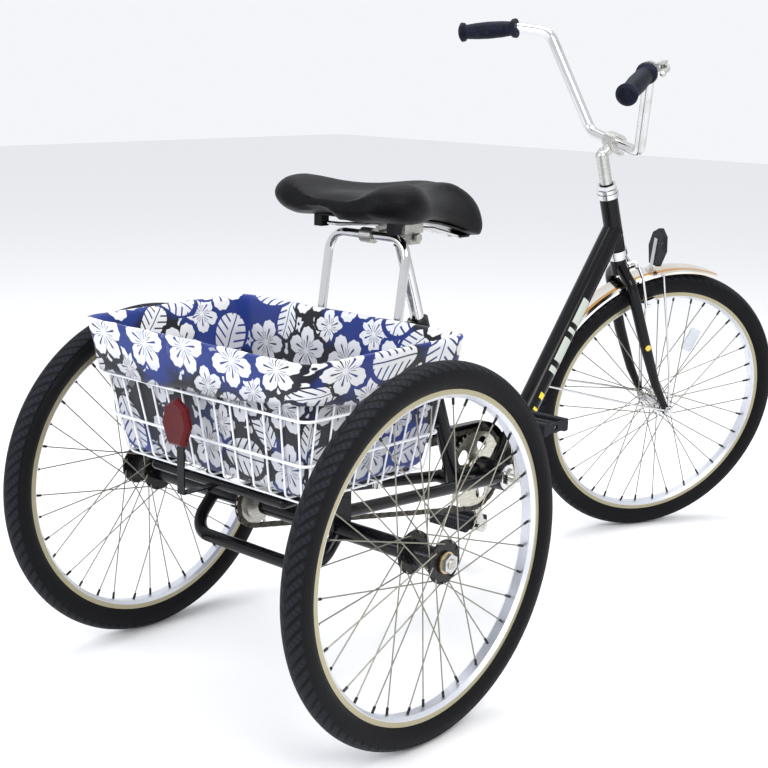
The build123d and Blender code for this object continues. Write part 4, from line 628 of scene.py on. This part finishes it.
def makeLiner():
    rows = []
    middle = Vector(((basketShape["back"][0] + basketShape["front"][0]) / 2, 0))
    floorRing = basketRing(linerShape["floorZ"], linerShape["wallInset"] + 0.010)
    for share in (0.12, 0.4, 0.66, 0.86, 1.0):
        row = []
        for x, y in floorRing:
            px, py = middle.x + (x - middle.x) * share, y * share
            lift = (ripple(px, py, 0.3, 11) + 0.6) * 0.0022
            row.append((px, py, linerShape["floorZ"] + max(lift, 0.0)))
        rows.append(row)
    heights = [0.3925, 0.399] + [0.399 + (0.602 - 0.399) * k / 13 for k in range(1, 14)]
    for count, height in enumerate(heights):
        inset = linerShape["wallInset"] + (0.004 if count == 0 else 0.001 if count == 1 else 0.0)
        row = []
        for x, y in basketRing(height, inset):
            wave = (ripple(x, y, height * 0.6, 9) + 0.35 * ripple(x, y, height, 26)) + 0.5
            pull = max(wave, 0.0) * linerShape["wallWave"] * 2
            away = Vector((middle.x - x, -y)).normalized()
            row.append((x + away.x * pull, y + away.y * pull, height))
        rows.append(row)
    for height, inset in ((0.6072, 0.0095), (0.6094, 0.0060), (0.6092, 0.0030), (0.6066, 0.0008)):
        row = []
        for x, y in basketRing(height, inset):
            row.append((x, y, height + 0.0012 * ripple(x, y, 1.7, 30)))
        rows.append(row)
    steps = 9
    for count in range(1, steps + 1):
        share = count / steps
        row = []
        for index, (x, y) in enumerate(basketRing(0.6, 0.0)):
            hem = linerShape["hemLow"] + linerShape["hemRise"] * ripple(x, y, 0.0, 6)
            rearRight = max(0.0, 1 - math.hypot(x + 0.745, y + 0.262) / 0.16)
            rearLeft = max(0.0, 1 - math.hypot(x + 0.745, y - 0.262) / 0.2)
            hem += 0.016 * rearRight - 0.012 * rearLeft
            height = 0.603 + (hem - 0.603) * share
            lean = 0.92 * (basketShape["rim"] - height) / (basketShape["rim"] - basketShape["floor"])
            bx = x + (0.041 if x < middle.x else -0.027) * lean * min(1, abs(x - middle.x) / 0.17)
            by = y - math.copysign(0.05 * lean, y) * min(1, abs(y) / 0.23)
            wave = ripple(bx, by, height * 0.5, 13) + 0.5 * ripple(bx, by, height, 31)
            out = max(-0.1, wave + 0.25) * linerShape["collarWave"] * (0.4 + share)
            away = Vector((bx - middle.x, by)).normalized()
            row.append((bx + away.x * out, by + away.y * out, height))
        rows.append(row)
    bm = bmesh.new()
    count = basketShape["around"]
    grid = [[bm.verts.new(p) for p in row] for row in rows]
    sheetMap = bm.loops.layers.uv.new("printMap")
    down = [0.0]
    for a, b in zip(rows, rows[1:]):
        gaps = [math.dist(a[i], b[i]) for i in range(0, count, 12)]
        down.append(down[-1] + sum(gaps) / len(gaps))
    across = [1.57 * i / count for i in range(count + 1)]
    floorRows = 4
    for r in range(len(rows) - 1):
        for i in range(count):
            j = (i + 1) % count
            face = bm.faces.new((grid[r][i], grid[r][j], grid[r + 1][j], grid[r + 1][i]))
            face.smooth = True
            ends = ((r, i), (r, i + 1), (r + 1, i + 1), (r + 1, i))
            for loop, (row, column) in zip(face.loops, ends):
                if r < floorRows:
                    loop[sheetMap].uv = (loop.vert.co.x + 3.0, loop.vert.co.y)
                else:
                    loop[sheetMap].uv = (across[column], down[row])
    middleVert = bm.verts.new((middle.x, 0, linerShape["floorZ"] + 0.0006))
    for i in range(count):
        face = bm.faces.new((middleVert, grid[0][(i + 1) % count], grid[0][i]))
        face.smooth = True
        for loop in face.loops:
            loop[sheetMap].uv = (loop.vert.co.x + 3.0, loop.vert.co.y)
    bmesh.ops.recalc_face_normals(bm, faces=bm.faces)
    data = bpy.data.meshes.new("clothLiner")
    bm.to_mesh(data)
    bm.free()
    area = sum(p.area for p in data.polygons)
    obj = bpy.data.objects.new("clothLiner", data)
    bpy.context.scene.collection.objects.link(obj)
    wall = obj.modifiers.new("clothThickness", "SOLIDIFY")
    wall.thickness = linerShape["thick"]
    wall.offset = 0
    settle(obj, "clothLiner", "frame", printedCloth("printedCotton"))
    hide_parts("basket_liner")
    print("liner modelled area", round(area, 3), "cut area", linerShape["cutArea"])
    return obj


makeLiner()


# ---- saddle ----
saddleWork = {"voxel": 0.005, "shrink": 0.996, "spread": 1.03, "pressure": 4.0, "frames": 20, "cap": 0.006}


def makeSaddle():
    clearSelection()
    data = nodes["saddle"].data.copy()
    obj = bpy.data.objects.new("saddlePad", data)
    bpy.context.scene.collection.objects.link(obj)
    low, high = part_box("saddle")
    centre = (low + high) / 2
    bm = bmesh.new()
    bm.from_mesh(data)
    bmesh.ops.remove_doubles(bm, verts=bm.verts, dist=0.00005)
    for vertex in bm.verts:
        away = vertex.co - centre
        vertex.co = centre + Vector((away.x * saddleWork["spread"], away.y * saddleWork["spread"],
                                     away.z * saddleWork["shrink"]))
    bm.to_mesh(data)
    bm.free()
    bpy.context.view_layer.objects.active = obj
    obj.select_set(True)
    remesh = obj.modifiers.new("evenMesh", "REMESH")
    remesh.mode = "VOXEL"
    remesh.voxel_size = saddleWork["voxel"]
    bpy.ops.object.modifier_apply(modifier=remesh.name)
    before = [v.co.copy() for v in obj.data.vertices]
    cloth = obj.modifiers.new("padding", "CLOTH")
    cloth.settings.use_pressure = True
    cloth.settings.uniform_pressure_force = saddleWork["pressure"]
    cloth.settings.effector_weights.gravity = 0
    cloth.settings.tension_stiffness = 40
    cloth.settings.bending_stiffness = 6
    cloth.point_cache.frame_end = saddleWork["frames"]
    for step in range(1, saddleWork["frames"] + 1):
        bpy.context.scene.frame_set(step)
    bpy.ops.object.modifier_apply(modifier=cloth.name)
    bpy.context.scene.frame_set(1)
    for vertex, start in zip(obj.data.vertices, before):
        shift = vertex.co - start
        if shift.length > saddleWork["cap"]:
            vertex.co = start + shift.normalized() * saddleWork["cap"]
        floorHere = start.z - 0.001  # the base stays flat on its pan
        if start.z < high.z - 0.06 and vertex.co.z < floorHere:
            vertex.co.z = floorHere
    smooth = obj.modifiers.new("relax", "SMOOTH")
    smooth.factor, smooth.iterations = 0.5, 3
    bpy.ops.object.modifier_apply(modifier=smooth.name)
    fine = obj.modifiers.new("fine", "SUBSURF")
    fine.levels = fine.render_levels = 1
    bpy.ops.object.modifier_apply(modifier=fine.name)
    bpy.ops.object.shade_smooth()
    settle(obj, "saddlePad", "seat", saddleVinyl("pebbledVinyl"))
    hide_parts("saddle")


makeSaddle()
print("saddle done")


# ---- rear reflector with a pointed, faceted lens ----
rearLens = {"centre": (-0.76196, 0.0, 0.484), "half": 0.031, "tall": 0.037, "deep": 0.013}


def makeRearLens():
    clearSelection()
    bpy.ops.mesh.primitive_circle_add(vertices=6, radius=1.0, fill_type="NGON")
    obj = bpy.context.object
    outline = [(0, 1), (0.72, 0.66), (1, -0.1), (0.52, -1), (-0.52, -1), (-1, -0.1), (-0.72, 0.66)]
    bm = bmesh.new()
    half, tall, deep = rearLens["half"], rearLens["tall"], rearLens["deep"]
    base = [bm.verts.new((0, -x * half, z * tall)) for x, z in outline]
    face = bm.faces.new(base)
    bm.to_mesh(obj.data)
    bm.free()
    bpy.ops.object.mode_set(mode="EDIT")
    bpy.ops.mesh.select_all(action="SELECT")
    bpy.ops.mesh.extrude_region_move(TRANSFORM_OT_translate={"value": (-deep * 0.55, 0, 0)})
    bpy.ops.mesh.inset(thickness=0.0045, depth=0.0)
    bpy.ops.transform.translate(value=(-deep * 0.42, 0, 0))
    bpy.ops.mesh.select_all(action="SELECT")
    bpy.ops.mesh.bevel(offset=0.0007, segments=2)
    bpy.ops.mesh.normals_make_consistent(inside=False)
    bpy.ops.object.mode_set(mode="OBJECT")
    settle(obj, "rearLens", "frame",
           prismLens("redLens", (0.13, 0.004, 0.006, 1), (0.010, 0.0005, 0.001, 1)),
           Matrix.Translation(rearLens["centre"]))
    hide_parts("rear_reflector")


makeRearLens()


# ---- small parts: the fork label ----
def makeBadge(name, centre, facing, width, height, material, body):
    clearSelection()
    bpy.ops.mesh.primitive_circle_add(vertices=20, radius=0.5, fill_type="NGON")
    obj = bpy.context.object
    bpy.ops.object.mode_set(mode="EDIT")
    bpy.ops.mesh.select_all(action="SELECT")
    bpy.ops.transform.resize(value=(width, height, 1))
    bpy.ops.mesh.extrude_region_move(TRANSFORM_OT_translate={"value": (0, 0, 0.0012)})
    bpy.ops.mesh.inset(thickness=min(width, height) * 0.06, depth=0.0003)
    bpy.ops.object.mode_set(mode="OBJECT")
    turn = Vector(facing).normalized().to_track_quat("Z", "Y").to_matrix().to_4x4()
    settle(obj, name, body, material, Matrix.Translation(centre) @ turn)


def labelFinish(name, shade, dark):
    f = Finish(name, {"Coat Weight": 0.5})
    mark = f.grain(120, 3, 0.6)
    f.feed(Base_Color=f.blend(mark, shade, dark), Roughness=0.3 + mark * 0.2)
    return f.relief(mark, 0.0002, 0.2).material


yellowLabel = labelFinish("yellowLabel", (0.80, 0.62, 0.05, 1), (0.62, 0.42, 0.02, 1))
makeBadge("forkBadge", (0.4741, -0.0606, 0.4385), (-0.434, -0.887, -0.158), 0.013, 0.013,
          yellowLabel, "steering")

print("small parts done")


# ---- camera, floor and light ----
studio = {
    "place": (-2.12366, -1.6443, 1.0330), "yaw": 42.0, "pitch": -12.9, "roll": 1.2, "lens": 67.0,
    "world": 0.95, "floorShade": (0.88, 0.88, 0.89, 1),
}


def makeStudio():
    yaw, pitch, roll = (math.radians(studio[k]) for k in ("yaw", "pitch", "roll"))
    ahead = Vector((math.cos(pitch) * math.cos(yaw), math.cos(pitch) * math.sin(yaw), math.sin(pitch)))
    right = ahead.cross(Vector((0, 0, 1))).normalized()
    up = right.cross(ahead)
    right, up = (right * math.cos(roll) + up * math.sin(roll),
                 up * math.cos(roll) - right * math.sin(roll))
    data = bpy.data.cameras.new("studioCamera")
    data.lens, data.sensor_width, data.clip_end = studio["lens"], 36, 60
    camera = bpy.data.objects.new("studioCamera", data)
    bpy.context.scene.collection.objects.link(camera)
    camera.matrix_world = Matrix.Translation(studio["place"]) @ Matrix((right, up, -ahead)).transposed().to_4x4()
    bpy.context.scene.camera = camera
    world = bpy.data.worlds.new("studioWorld")
    bpy.context.scene.world = world
    bpy.context.scene.view_settings.view_transform = "Standard"
    world.use_nodes = True
    world.node_tree.nodes["Background"].inputs[0].default_value = (0.95, 0.97, 1, 1)
    world.node_tree.nodes["Background"].inputs[1].default_value = studio["world"]
    lights = [
        ("keyPanel", (-1.6, -2.4, 2.6), 1.8, 75, (1, 0.98, 0.95)),
        ("rearPanel", (-3.0, 1.2, 1.9), 1.4, 40, (0.88, 0.93, 1)),
        ("topPanel", (0.4, 0.4, 3.4), 2.4, 60, (1, 1, 1)),
    ]
    for name, place, size, power, shade in lights:
        lamp = bpy.data.lights.new(name, "AREA")
        lamp.size, lamp.energy, lamp.color = size, power, shade
        obj = bpy.data.objects.new(name, lamp)
        bpy.context.scene.collection.objects.link(obj)
        aim = Vector((-0.1, 0, 0.45)) - Vector(place)
        obj.matrix_world = Matrix.Translation(place) @ aim.to_track_quat("-Z", "Y").to_matrix().to_4x4()
    clearSelection()
    bpy.ops.mesh.primitive_plane_add(size=24, location=(0, 0, -0.0005))
    floor = bpy.context.object
    floor.name = "studioFloor"
    f = Finish("floorPaper", {"Roughness": 0.9, "Specular IOR Level": 0.1})
    fibre = f.grain(40, 3, 0.5)
    f.feed(Base_Color=f.blend(fibre * 0.15, studio["floorShade"], (0.8, 0.8, 0.81, 1)))
    floor.data.materials.append(f.material)


makeStudio()
print("studio done")
